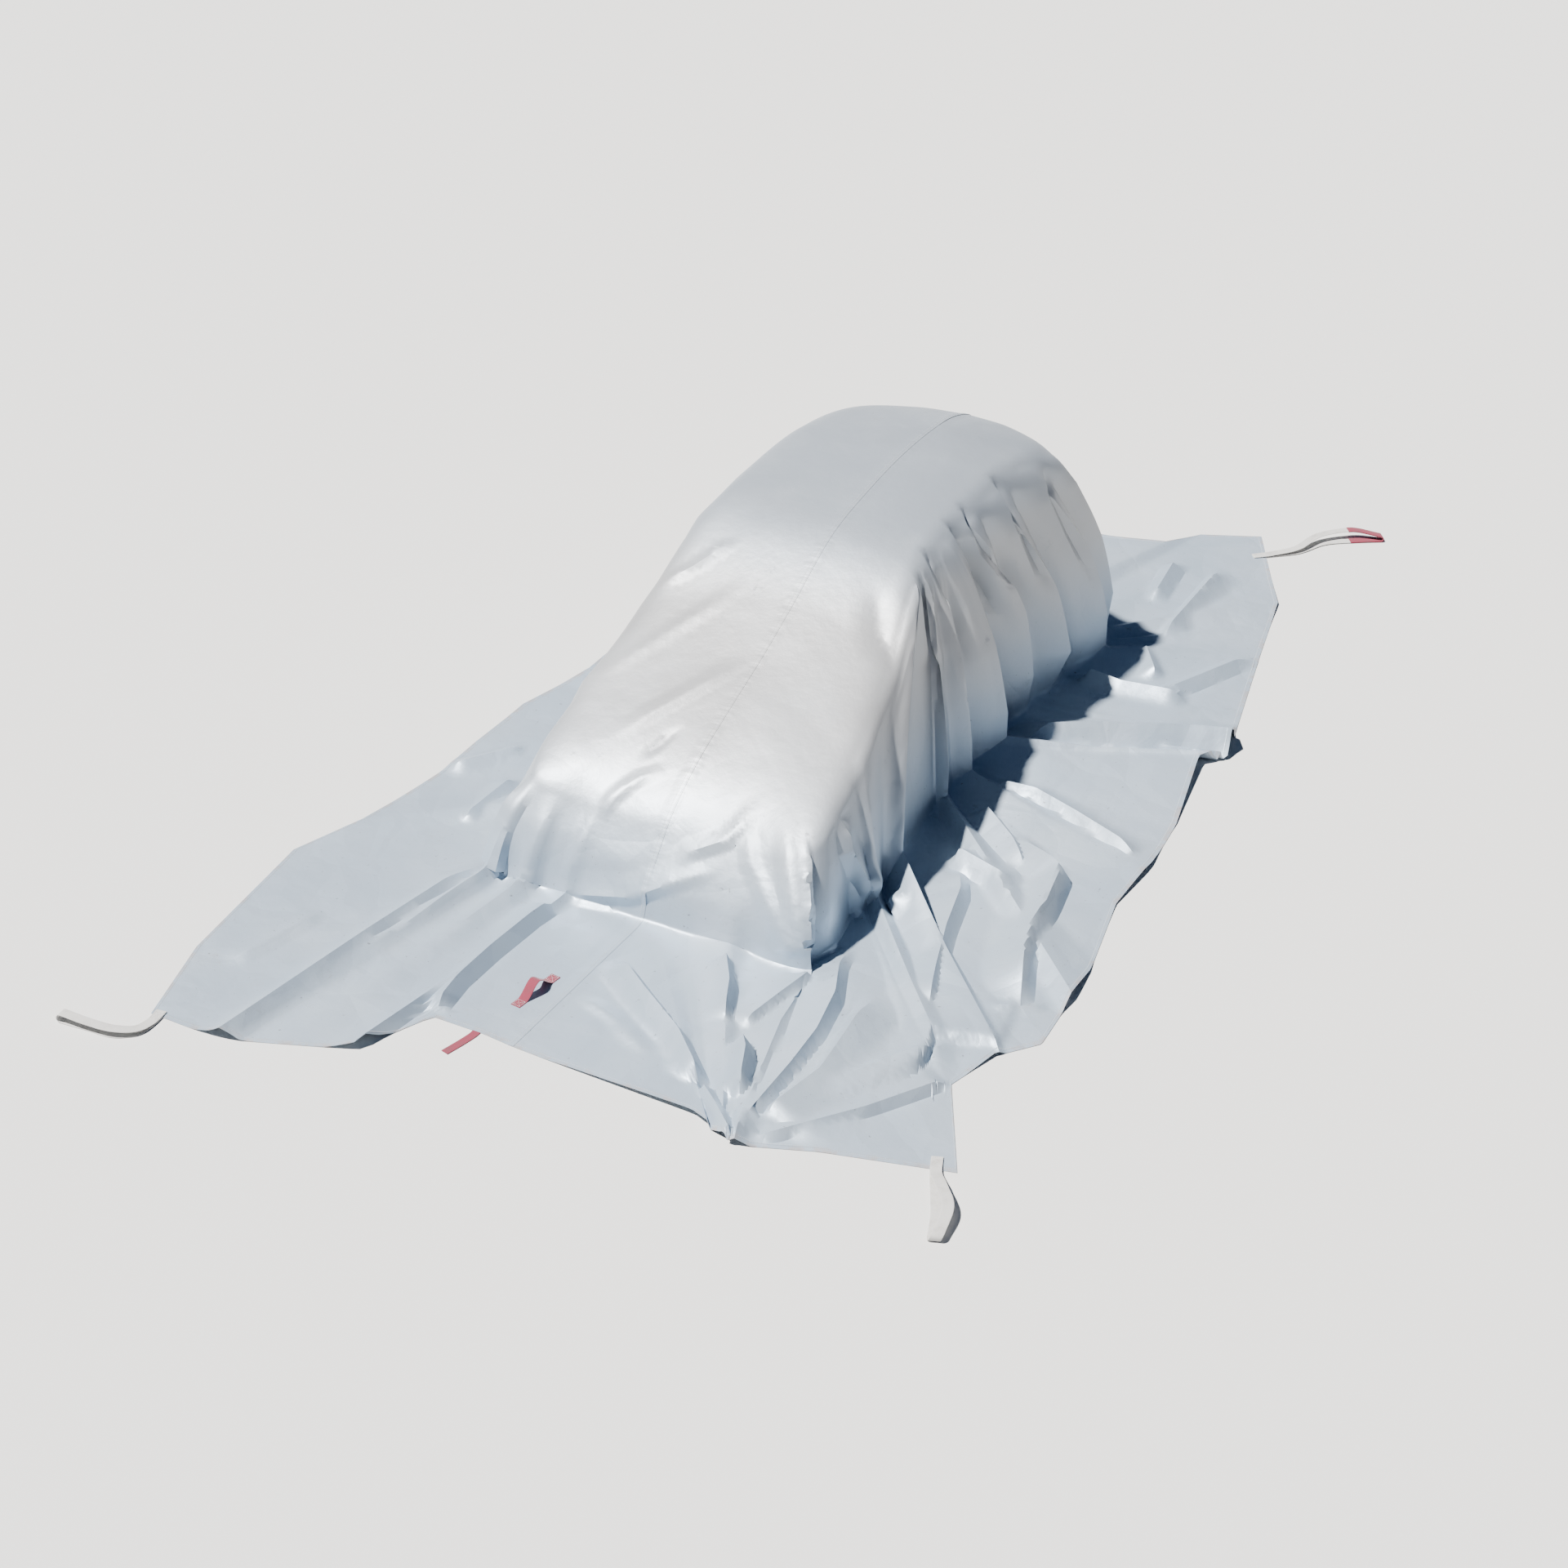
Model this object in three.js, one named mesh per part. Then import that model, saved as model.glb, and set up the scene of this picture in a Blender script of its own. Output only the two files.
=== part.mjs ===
// Fire containment blanket of coated glass cloth, draped: low in front, high behind, open below.
// Millimetres, +Z up, the ground is z = 0 and the front edge of the blanket faces -Y.
import * as THREE from 'three';

// Cloth and webbing sizes
const SHEET = 2;
const SEAM_GAP = 0.6;
const PIECE_GAP = 0.5;
const STRAP_WIDE = 60;
const HANDLE_WIDE = 60;
const TAIL_WIDE = 48;
const BAND = 3;
const SLEEVE_WALL = 2;

// The draped form, a row for each section round it from the front centre to the back centre.
// right, left, y and z give the turn where the cloth starts to hang, foot where it meets the ground.
const FORM = [
  { right: 0, left: 0, y: -1830, z: 500, footRight: 0, footLeft: 0, footY: -2140 },
  { right: 480, left: 480, y: -1820, z: 510, footRight: 520, footLeft: 520, footY: -2136 },
  { right: 850, left: 850, y: -1790, z: 580, footRight: 985, footLeft: 1000, footY: -2090 },
  { right: 860, left: 930, y: -1250, z: 790, footRight: 1030, footLeft: 1060, footY: -1350 },
  { right: 750, left: 920, y: -600, z: 1030, footRight: 950, footLeft: 1040, footY: -750 },
  { right: 620, left: 900, y: 40, z: 1350, footRight: 880, footLeft: 1000, footY: 50 },
  { right: 620, left: 900, y: 640, z: 1440, footRight: 870, footLeft: 980, footY: 640 },
  { right: 620, left: 870, y: 1240, z: 1470, footRight: 900, footLeft: 980, footY: 1300 },
  { right: 640, left: 780, y: 1780, z: 1400, footRight: 950, footLeft: 960, footY: 2030 },
  { right: 340, left: 390, y: 1960, z: 1400, footRight: 500, footLeft: 500, footY: 2180 },
  { right: 0, left: 0, y: 2000, z: 1400, footRight: 0, footLeft: 0, footY: 2200 },
];
// The top of the form along the seam, where each of those sections starts.
const TOP_LINE = [
  { y: -1380, z: 765 }, { y: -1280, z: 805 }, { y: -1080, z: 885 }, { y: -800, z: 995 },
  { y: -440, z: 1160 }, { y: 60, z: 1405 }, { y: 560, z: 1505 }, { y: 960, z: 1548 },
  { y: 1240, z: 1555 }, { y: 1400, z: 1550 }, { y: 1500, z: 1545 },
];

// The hem as it lies on the ground, from the front centre round to the back centre.
const HEM_RIGHT = [
  { x: 0, y: -3440 }, { x: 380, y: -3460 }, { x: 1100, y: -3490 }, { x: 1390, y: -3610 },
  { x: 1790, y: -3450 }, { x: 2460, y: -3270 }, { x: 2130, y: -2650 }, { x: 2220, y: -2330 },
  { x: 2390, y: -2120 }, { x: 2350, y: -1400 }, { x: 2220, y: -740 }, { x: 2240, y: -270 },
  { x: 2200, y: 200 }, { x: 2060, y: 900 }, { x: 2190, y: 1040 }, { x: 1900, y: 2390 },
  { x: 1760, y: 3080 }, { x: 1310, y: 3980 }, { x: 930, y: 3810 }, { x: 780, y: 3540 }, { x: 0, y: 3450 },
];
const HEM_LEFT = [
  { x: 0, y: -3440 }, { x: 190, y: -3420 }, { x: 500, y: -3420 }, { x: 690, y: -3850 },
  { x: 1350, y: -4110 }, { x: 1810, y: -4100 }, { x: 1990, y: -3500 }, { x: 2120, y: -2460 },
  { x: 1960, y: -2010 }, { x: 1870, y: -1340 }, { x: 1890, y: -420 }, { x: 1760, y: 150 },
  { x: 1800, y: 1200 }, { x: 1950, y: 2300 }, { x: 1850, y: 3200 }, { x: 1620, y: 4050 },
  { x: 850, y: 3750 }, { x: 0, y: 3450 },
];

// Folds, a row each. wall and foot count rows of FORM, hem counts rows of the hem table.
// hang, low, base, mid and rim are the rise at mid wall, below it, at the foot, half way out and at the hem.
// before and after are the parts of the way to the neighbouring rows that the flanks take.
// tuck is how far out a crosswise pleat stands, and lip its height. pull draws the foot sideways.
const PLAIN = {
  hang: 0, low: 0, base: 0, mid: 0, rim: 0, before: 0.5, after: 0.5, tuck: 0.7, lip: 0, pull: [0, 0],
};
const FOLDS_RIGHT = [
  { wall: 0, foot: 0, hem: 0 },
  { wall: 0.3, foot: 0.15, hem: 2.4, mid: 20, rim: 45, before: 0.8, after: 0.25 },
  { wall: 1.1, foot: 1.05, hem: 2.8, hang: 10, low: 30, base: 40, mid: 40, rim: 50,
    after: 0.3, tuck: 0.8 },
  { wall: 2, foot: 2, hem: 3.05, hang: 30, low: 40, base: 20, mid: 40, rim: 45,
    before: 0.8, after: 0.1, tuck: 0.95, lip: 40, pull: [75, -45] },
  { wall: 2.55, foot: 2.65, hem: 5, hang: -40, low: -90, base: -100,
    before: 0.5, after: 0.45, tuck: 0.6, lip: 60 },
  { wall: 3.1, foot: 3, hem: 6, hang: 70, low: 120, base: 80, mid: 30,
    before: 0.4, after: 0.3, tuck: 0.75, lip: 60 },
  { wall: 4.9, foot: 3.6, hem: 7.1, hang: 110, low: 180, base: 210, mid: 70, rim: 20,
    before: 0.75, after: 0.1, tuck: 0.95, lip: 30 },
  { wall: 5.02, foot: 4.65, hem: 8.6, hang: 100, low: 150, base: 90, mid: 85, rim: 50,
    before: 0.14, after: 0.25 },
  { wall: 5.22, foot: 5.05, hem: 10.8, hang: 90, low: 110, base: 90, mid: 45, rim: 30,
    before: 0.5, after: 0.25 },
  { wall: 5.5, foot: 5.55, hem: 13.4, hang: 150, low: 180, base: 150, mid: 80, rim: 80,
    before: 0.6, after: 0.8 },
  { wall: 5.78, foot: 6.15, hem: 13.75, hang: -70, low: -70, base: -30, mid: 40, rim: 60,
    before: 0.3, after: 0.3 },
  { wall: 5.97, foot: 6.45, hem: 14.05, hang: 130, low: 110, base: 20, mid: 20, rim: 30,
    before: 0.9, after: 0.9 },
  { wall: 6.17, foot: 6.7, hem: 14.15, hang: -50, low: 20, base: 10, mid: 10, before: 0.3, after: 0.3 },
  { wall: 6.5, foot: 6.95, hem: 14.3, hang: 170, low: 190, base: 20, mid: 10, before: 0.9, after: 0.9 },
  { wall: 6.85, foot: 7.3, hem: 14.55, hang: -70, low: -80, base: -20, before: 0.3, after: 0.3 },
  { wall: 7.25, foot: 7.65, hem: 15, hang: 130, low: 140, base: 80, mid: 25, before: 0.9, after: 0.9 },
  { wall: 7.6, foot: 7.95, hem: 15.5, hang: -50, low: -20, base: 30, mid: 30, before: 0.3, after: 0.3 },
  { wall: 7.9, foot: 8.2, hem: 16, hang: 130, low: 150, base: 60, mid: 45, rim: 15,
    before: 0.9, after: 0.35 },
  { wall: 8.7, foot: 8.6, hem: 17, hang: 40, low: 40, base: 40 },
  { wall: 9.3, foot: 9.3, hem: 19, hang: 30, low: 40, base: 50, mid: 50, rim: 30 },
  { wall: 10, foot: 10, hem: 20 },
];
const FOLDS_LEFT = [
  { wall: 0, foot: 0, hem: 0, after: 0.4 },
  { wall: 0.9, foot: 0.92, hem: 2.85, hang: 5, low: 15, base: 40, mid: 40, rim: 70,
    before: 0.1, after: 0.6 },
  { wall: 1.5, foot: 1.45, hem: 3.5, hang: 5, low: 25, base: 60, mid: 15, before: 0.4, after: 0.4 },
  { wall: 1.95, foot: 1.9, hem: 4, hang: 15, low: 50, base: 80, mid: 35, rim: 50,
    before: 0.35, after: 0.4 },
  { wall: 2.5, foot: 2.5, hem: 5, hang: 20, low: 20, base: 20 },
  { wall: 3.2, foot: 3.1, hem: 8, hang: 60, low: 90, base: 60, mid: 25, rim: 10, before: 0.4, after: 0.3 },
  { wall: 4.1, foot: 4.3, hem: 9.4, hang: 50, low: 80, base: 40, mid: 25, rim: 10,
    before: 0.5, after: 0.25 },
  { wall: 5.1, foot: 5.2, hem: 11, hang: 90, low: 120, base: 50, mid: 35, rim: 15,
    before: 0.3, after: 0.5 },
  { wall: 5.8, foot: 6.1, hem: 12.3, hang: 70, low: 110, base: 90, mid: 30, rim: 15,
    before: 0.4, after: 0.3 },
  { wall: 7, foot: 7.1, hem: 13.6, hang: 100, low: 120, base: 50, mid: 30, rim: 20,
    before: 0.5, after: 0.3 },
  { wall: 7.9, foot: 8, hem: 15, hang: 60, low: 90, base: 60, before: 0.4 },
  { wall: 8.9, foot: 8.9, hem: 16.2, hang: 40, low: 60, base: 50, mid: 45, rim: 30 },
  { wall: 10, foot: 10, hem: 17 },
];

// Ridges in the skirt, walked along line (x, y) over the ground: rise is the height of the crest, left
// and right the widths of its flanks, start and end the parts of its length that run out.
const RUN_OUT = { start: 0.2, end: 0.2 };
const RIDGES = [
  // front skirt, all drawn towards the pinch in the front hem
  { rise: 120, left: 70, right: 120, start: 0.2, end: 0.1,
    line: [[50, -2530], [420, -2800], [760, -3030], [1050, -3310]] },
  { rise: 85, left: 80, right: 60, start: 0.1, end: 0.1,
    line: [[1050, -3310], [1200, -3430], [1390, -3600]] },
  { rise: 105, left: 50, right: 150, start: 0.15, end: 0.3,
    line: [[580, -2230], [760, -2500], [910, -2830]] },
  { rise: 60, left: 60, right: 220, start: 0.05, line: [[1070, -2170], [1020, -2460], [970, -2780]] },
  { rise: 160, left: 80, right: 180, start: 0.3, line: [[1010, -2840], [1160, -3040], [1280, -3320]] },
  { rise: 85, left: 50, right: 280, start: 0.25, end: 0.1,
    line: [[1110, -1760], [1170, -2030], [1290, -2310], [1360, -2650], [1380, -2970], [1390, -3560]] },
  { rise: 95, left: 420, right: 80, start: 0.3, end: 0.1,
    line: [[1450, -2100], [1510, -2620], [1540, -2950], [1450, -3420]] },
  { rise: 50, left: 330, right: 40, end: 0.1,
    line: [[1400, -3580], [1570, -3440], [1860, -3070], [2130, -2640]] },
  // right skirt
  { rise: 85, left: 60, right: 240, start: 0.15,
    line: [[1290, -820], [1440, -1100], [1530, -1470], [1650, -1850], [1790, -2250]] },
  { rise: 135, left: 75, right: 280, start: 0.35,
    line: [[1350, -280], [1640, -520], [1860, -700], [1910, -960], [1960, -1300], [2030, -1560],
      [2190, -1960]] },
  { rise: 75, left: 55, right: 170, start: 0.1, end: 0.4,
    line: [[1150, -200], [1470, -480], [1740, -800]] },
  { rise: 95, left: 260, right: 90, start: 0.1, end: 0.4,
    line: [[1220, -740], [1560, -860], [1780, -940]] },
  { rise: 150, left: 330, right: 120, start: 0.2, end: 0,
    line: [[1000, 520], [1180, 700], [1460, 860], [1880, 1060], [2180, 1160]] },
  { rise: 85, left: 170, right: 80, start: 0.1,
    line: [[1080, 40], [1370, 60], [1680, -60], [2220, -300]] },
  { rise: 80, left: 90, right: 160, start: 0.1, line: [[1020, 1560], [1300, 1500], [1750, 1560]] },
  { rise: 70, left: 80, right: 150, line: [[1220, 2080], [1450, 1720]] },
  { rise: 60, left: 120, right: 80, line: [[1480, 1370], [1700, 1850], [1900, 2300]] },
  { rise: 60, left: 90, right: 90, line: [[1030, 2680], [950, 3320]] },
  { rise: 80, left: 80, right: 170, line: [[1290, 2180], [1280, 3360]] },
  // left skirt
  { rise: 80, left: 90, right: 180, end: 0, line: [[-1060, -2000], [-1210, -3010], [-1345, -4120]] },
  { rise: 25, left: 90, right: 140, line: [[-1590, -2900], [-1740, -3560]] },
  { rise: 50, left: 110, right: 110, line: [[-1540, -870], [-1850, -1330]] },
  { rise: 55, left: 80, right: 130, line: [[-1420, -1200], [-1430, -1790]] },
  { rise: 75, left: 60, right: 170, start: 0.1, end: 0.1,
    line: [[-490, -2230], [-520, -2450], [-540, -2810], [-540, -3120], [-500, -3400]] },
];

// Corner pull loops, laid along the ground from the sewn end to the tip.
// up is the height of the upper leg over the lower one, drift how far it lies to the side.
const LOOP_FRONT_LEFT = [
  { x: -1770, y: -4060, up: 0, drift: 0 }, { x: -1755, y: -4170, up: 4, drift: 0 },
  { x: -1770, y: -4270, up: 20, drift: 0 }, { x: -1850, y: -4335, up: 34, drift: 0 },
  { x: -2000, y: -4350, up: 40, drift: 10 }, { x: -2170, y: -4365, up: 46, drift: 0 },
];
const LOOP_FRONT_RIGHT = [
  { x: 2325, y: -3210, up: 0, drift: 0 }, { x: 2370, y: -3320, up: 6, drift: 0 },
  { x: 2430, y: -3440, up: 44, drift: 20 }, { x: 2510, y: -3600, up: 56, drift: 52 },
  { x: 2574, y: -3770, up: 36, drift: 24 },
];
const LOOP_BACK_RIGHT = [
  { x: 1370, y: 3660, up: 0, drift: 0 }, { x: 1470, y: 3740, up: 6, drift: 0 },
  { x: 1610, y: 3870, up: 20, drift: 10 }, { x: 1720, y: 4080, up: 40, drift: 45 },
  { x: 1880, y: 4210, up: 48, drift: 65 }, { x: 2050, y: 4320, up: 24, drift: 12 },
];
const LOOP_BACK_LEFT = [
  { x: -1590, y: 3850, up: 0, drift: 0 }, { x: -1640, y: 3970, up: 6, drift: 0 },
  { x: -1720, y: 4100, up: 30, drift: 0 }, { x: -1800, y: 4220, up: 44, drift: 0 },
  { x: -1900, y: 4360, up: 44, drift: 0 },
];
const LOOP_STEPS = 14;
const TIP_STEPS = 5;
// The step of a loop where its red sleeve starts, and the lift of the loop that leaves room under it.
const GRIP_STEP = 11;
const GRIP_LIFT = SLEEVE_WALL + 2 * PIECE_GAP;

// The red hand loop on the cloth and the red tail at the front hem, z above what they lie on.
const HANDLE = [
  { x: -172, y: -3139, z: 0 }, { x: -165, y: -3079, z: 0 }, { x: -161, y: -3049, z: 18 },
  { x: -152, y: -2970, z: 72 }, { x: -143, y: -2891, z: 18 }, { x: -139, y: -2861, z: 0 },
  { x: -132, y: -2801, z: 0 },
];
const TAIL = [
  { x: -225, y: -3420.6, z: 0 }, { x: -225, y: -3450, z: 0 }, { x: -240, y: -3530, z: 0 },
  { x: -270, y: -3650, z: 0 },
];
const BAND_STEPS = 16;

// Legs of a section: top to shoulder, shoulder to waist, waist to foot, foot to hem.
const WAIST_OUT = 0.7;
const WAIST_UP = 0.5;
const ROUND_SHOULDER = 0.2;
const ROUND_WAIST = 0.4;
const ROUND_FOOT = 0.1;
// Rings of points along a section, by leg. Those of the skirt count from the foot to the pleat.
const TOP_RINGS = [0, 0.35, 0.7, 0.87];
const WALL_RINGS = [1, 1.2, 1.4, 1.7, 2, 2.3, 2.6, 2.82, 2.93, 3.03];
const SKIRT_RINGS = [0.12, 0.26, 0.4, 0.55, 0.7, 0.86, 1];
const SHOULDER_LEG = 1;
const ONSET_LEG = 1.4;
const ONSET_SHARE = 0.6;
const WAIST_LEG = 2;
const LOW_LEG = 2.6;
const FOOT_LEG = 3;
const MID_LEG = 3.5;
const HEM_LEG = 4;
const PULL_END_LEG = 3.35;
const PLEAT_DROP = 0.04;
const LAST_RING = 0.99;
const LEG_STEP = 0.02;
const ROW_STEP = 0.01;

// The nearest that spokes may come at the hem: those of corners and flanks, and the fillers.
const CORNER_APART = 25;
const SPOKE_APART = 60;
// Share of a fold's flank that is straight, the rest is a soft swell.
const SHARP = 0.7;

const ridges = RIDGES.map((ridge) => ({ ...RUN_OUT, ...ridge }));
const topLine = new THREE.CatmullRomCurve3(TOP_LINE.map((r) => new THREE.Vector3(0, r.y, r.z)));
const RIGHT = {
  side: 1,
  spokeWide: 150,
  hem: HEM_RIGHT,
  folds: FOLDS_RIGHT.map((fold) => ({ ...PLAIN, ...fold })),
  turn: new THREE.CatmullRomCurve3(FORM.map((f) => new THREE.Vector3(f.right, f.y, f.z))),
  foot: new THREE.CatmullRomCurve3(FORM.map((f) => new THREE.Vector3(f.footRight, f.footY, 0))),
};
const LEFT = {
  side: -1,
  spokeWide: 330,
  hem: HEM_LEFT,
  folds: FOLDS_LEFT.map((fold) => ({ ...PLAIN, ...fold })),
  turn: new THREE.CatmullRomCurve3(FORM.map((f) => new THREE.Vector3(f.left, f.y, f.z))),
  foot: new THREE.CatmullRomCurve3(FORM.map((f) => new THREE.Vector3(f.footLeft, f.footY, 0))),
};

function onForm(line, row) {
  return line.getPoint(THREE.MathUtils.clamp(row / (FORM.length - 1), 0, 1));
}

function onHem(hem, row) {
  const k = Math.min(Math.floor(row), hem.length - 2);
  const t = row - k;
  return new THREE.Vector3(
    THREE.MathUtils.lerp(hem[k].x, hem[k + 1].x, t),
    THREE.MathUtils.lerp(hem[k].y, hem[k + 1].y, t), 0);
}

// A fold's flank: a crisp crest that runs out softly.
function flank(u) {
  if (u >= 1) return 0;
  const swell = (1 + Math.cos(Math.PI * u)) / 2;
  return SHARP * (1 - u) + (1 - SHARP) * swell;
}

// The rise of a fold along its section, from nothing at the shoulder to its rim at the hem.
function riseAlong(fold, leg) {
  const keys = [[SHOULDER_LEG, 0], [ONSET_LEG, ONSET_SHARE * fold.hang], [WAIST_LEG, fold.hang],
    [LOW_LEG, fold.low], [FOOT_LEG, fold.base], [MID_LEG, fold.mid], [HEM_LEG, fold.rim]];
  if (leg <= SHOULDER_LEG) return 0;
  for (let k = 1; k < keys.length; k++) {
    if (leg <= keys[k][0]) {
      const t = (leg - keys[k - 1][0]) / (keys[k][0] - keys[k - 1][0]);
      return THREE.MathUtils.lerp(keys[k - 1][1], keys[k][1], t);
    }
  }
  return fold.rim;
}

// How much of a fold's sideways pull is felt along its section: all of it at the foot.
function pullAlong(leg) {
  const felt = leg <= FOOT_LEG
    ? (leg - SHOULDER_LEG) / (FOOT_LEG - SHOULDER_LEG)
    : (PULL_END_LEG - leg) / (PULL_END_LEG - FOOT_LEG);
  return THREE.MathUtils.clamp(felt, 0, 1);
}

// How steeply the top line climbs at a row.
function climb(row) {
  const last = FORM.length - 1;
  const ahead = onForm(topLine, Math.min(row + ROW_STEP, last));
  const behind = onForm(topLine, Math.max(row - ROW_STEP, 0));
  return (ahead.z - behind.z) / (ahead.y - behind.y);
}

// Points of one section at the given legs, softened at the shoulder, waist and foot.
function section(half, wall, foot, hemRow) {
  const top = onForm(topLine, wall);
  const shoulder = onForm(half.turn, wall);
  const footPoint = onForm(half.foot, foot);
  const edge = onHem(half.hem, hemRow);
  const waist = shoulder.clone().lerp(footPoint, WAIST_OUT);
  waist.z = shoulder.z * WAIST_UP;
  const stops = [top, shoulder, waist, footPoint, edge];
  const rounding = [0, ROUND_SHOULDER, ROUND_WAIST, ROUND_FOOT, 0];
  const leave = climb(wall) * (shoulder.y - top.y);
  const bow = shoulder.z - top.z - leave;
  const straight = (leg) => {
    const k = Math.min(Math.floor(leg), FOOT_LEG);
    const p = stops[k].clone().lerp(stops[k + 1], leg - k);
    if (k === 0) p.z = top.z + leave * leg + bow * leg * leg;
    return p;
  };
  return (leg) => {
    const k = Math.round(leg);
    const w = rounding[k];
    if (Math.abs(leg - k) >= w) return straight(leg);
    const bend = new THREE.QuadraticBezierCurve3(straight(k - w), stops[k], straight(k + w));
    return bend.getPoint((leg - k + w) / (2 * w));
  };
}

// Height of a skirt ridge over a place on the ground.
function ridgeHeight(ridge, x, y) {
  const place = new THREE.Vector2(x, y);
  const line = ridge.line.map(([a, b]) => new THREE.Vector2(a, b));
  const whole = line.slice(1).reduce((sum, p, k) => sum + p.distanceTo(line[k]), 0);
  let nearest = Infinity;
  let height = 0;
  let walked = 0;
  for (let k = 0; k + 1 < line.length; k++) {
    const size = line[k].distanceTo(line[k + 1]);
    const way = line[k + 1].clone().sub(line[k]).divideScalar(size);
    const off = place.clone().sub(line[k]);
    const t = THREE.MathUtils.clamp(off.dot(way), 0, size);
    const far = off.clone().addScaledVector(way, -t).length();
    if (far < nearest) {
      nearest = far;
      const wide = way.cross(off) > 0 ? ridge.left : ridge.right;
      const along = (walked + t) / whole;
      const fade = THREE.MathUtils.smoothstep(along, 0, ridge.start)
        * THREE.MathUtils.smoothstep(1 - along, 0, ridge.end);
      height = ridge.rise * flank(far / wide) * fade;
    }
    walked += size;
  }
  return height;
}

// Spokes of one panel: every fold's crest and flanks, every corner of the hem, and fillers between.
function spokes(half) {
  const list = [];
  for (let k = 0; k + 1 < half.folds.length; k++) {
    const a = half.folds[k];
    const b = half.folds[k + 1];
    const length = onHem(half.hem, a.hem).distanceTo(onHem(half.hem, b.hem));
    const steps = [0];
    const add = (t, apart) => {
      const clear = steps.every((step) => Math.abs(step - t) * length >= apart);
      if (t > 0 && (1 - t) * length >= apart && clear) steps.push(t);
    };
    for (let row = Math.ceil(a.hem); row < b.hem; row++) add((row - a.hem) / (b.hem - a.hem), CORNER_APART);
    add(a.after, CORNER_APART);
    add(1 - b.before, CORNER_APART);
    const fillers = Math.ceil(length / half.spokeWide);
    for (let n = 1; n < fillers; n++) add(n / fillers, SPOKE_APART);
    for (const t of steps.sort((p, q) => p - q)) list.push({ a, b, t });
  }
  list.push({ a: half.folds[half.folds.length - 2], b: half.folds[half.folds.length - 1], t: 1 });
  return list;
}

function mix(spoke, key) {
  return THREE.MathUtils.lerp(spoke.a[key], spoke.b[key], spoke.t);
}

// One panel: the underside laid section by section, then a top side SHEET above it and a rim.
function panel(half) {
  const rows = spokes(half).map((spoke) => {
    const curve = section(half, mix(spoke, 'wall'), mix(spoke, 'foot'), mix(spoke, 'hem'));
    const tuck = mix(spoke, 'tuck');
    const lip = mix(spoke, 'lip');
    const past = (tuck + 1) / 2 + LEG_STEP;
    const skirt = [...SKIRT_RINGS.map((f) => f * tuck), Math.min(tuck + PLEAT_DROP, LAST_RING), past, 1];
    const legs = [...TOP_RINGS, ...WALL_RINGS, ...skirt.map((f) => FOOT_LEG + Math.min(f, 1))];
    const out = curve(HEM_LEG).sub(curve(SHOULDER_LEG)).setZ(0).normalize();
    const flanks = [[spoke.a, spoke.t / spoke.a.after], [spoke.b, (1 - spoke.t) / spoke.b.before]];
    return legs.map((leg) => {
      const p = curve(leg);
      const along = curve(Math.min(leg + LEG_STEP, HEM_LEG)).sub(curve(Math.max(leg - LEG_STEP, 0)));
      const run = along.dot(out);
      const size = Math.hypot(run, along.z);
      let rise = 0;
      for (const [fold, u] of flanks) {
        rise += riseAlong(fold, leg) * flank(u);
        const felt = pullAlong(leg) * Math.max(1 - u, 0);
        p.x += fold.pull[0] * felt;
        p.y += fold.pull[1] * felt;
      }
      if (leg > FOOT_LEG && leg <= FOOT_LEG + tuck) rise += lip * ((leg - FOOT_LEG) / tuck) ** 2;
      p.addScaledVector(out, -along.z / size * rise);
      p.z = Math.max(0, p.z + run / size * rise);
      if (leg <= FOOT_LEG) return p;
      p.z = Math.max(p.z, ...ridges.map((ridge) => ridgeHeight(ridge, half.side * p.x, p.y)));
      return p;
    });
  });
  return shell(rows, half.side);
}

// Closes a grid of underside points into a solid of one sheet's thickness, mirrored for the left.
function shell(rows, side) {
  const m = rows.length;
  const n = rows[0].length;
  const normal = rows.map((row, i) => row.map((p, j) => {
    const e = rows[Math.min(i + 1, m - 1)][j].clone().sub(rows[Math.max(i - 1, 0)][j]);
    const f = row[Math.min(j + 1, n - 1)].clone().sub(row[Math.max(j - 1, 0)]);
    const up = f.cross(e).normalize();
    if (i === 0 || i === m - 1 || j === 0) up.setX(0).normalize();
    return up;
  }));
  const at = (i, j) => i * n + j;
  const points = [];
  for (const lift of [0, SHEET]) {
    rows.forEach((row, i) => row.forEach((p, j) => {
      const q = p.clone().addScaledVector(normal[i][j], lift);
      points.push(side * (q.x + SEAM_GAP / 2), q.y, q.z);
    }));
  }
  const faces = [];
  const quad = (a, b, c, d) => {
    if (side > 0) faces.push(a, b, c, a, c, d);
    else faces.push(a, c, b, a, d, c);
  };
  const over = m * n;
  for (let i = 0; i + 1 < m; i++) {
    for (let j = 0; j + 1 < n; j++) {
      quad(at(i, j), at(i + 1, j), at(i + 1, j + 1), at(i, j + 1));
      quad(over + at(i, j), over + at(i, j + 1), over + at(i + 1, j + 1), over + at(i + 1, j));
    }
  }
  const wallStrip = (a, b) => quad(a, b, over + b, over + a);
  for (let i = 0; i + 1 < m; i++) {
    wallStrip(at(i + 1, 0), at(i, 0));
    wallStrip(at(i, n - 1), at(i + 1, n - 1));
  }
  for (let j = 0; j + 1 < n; j++) {
    wallStrip(at(0, j), at(0, j + 1));
    wallStrip(at(m - 1, j + 1), at(m - 1, j));
  }
  const geometry = new THREE.BufferGeometry();
  geometry.setAttribute('position', new THREE.Float32BufferAttribute(points, 3));
  geometry.setIndex(faces);
  geometry.computeVertexNormals();
  return geometry;
}

// Adds to each middle point p of a band, beside the direction across it, the one out of its face.
function faced(stops) {
  const last = stops.length - 1;
  return stops.map(({ p, across }, k) => {
    const run = stops[Math.min(k + 1, last)].p.clone().sub(stops[Math.max(k - 1, 0)].p);
    return { p, across, out: across.clone().cross(run).normalize() };
  });
}

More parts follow.
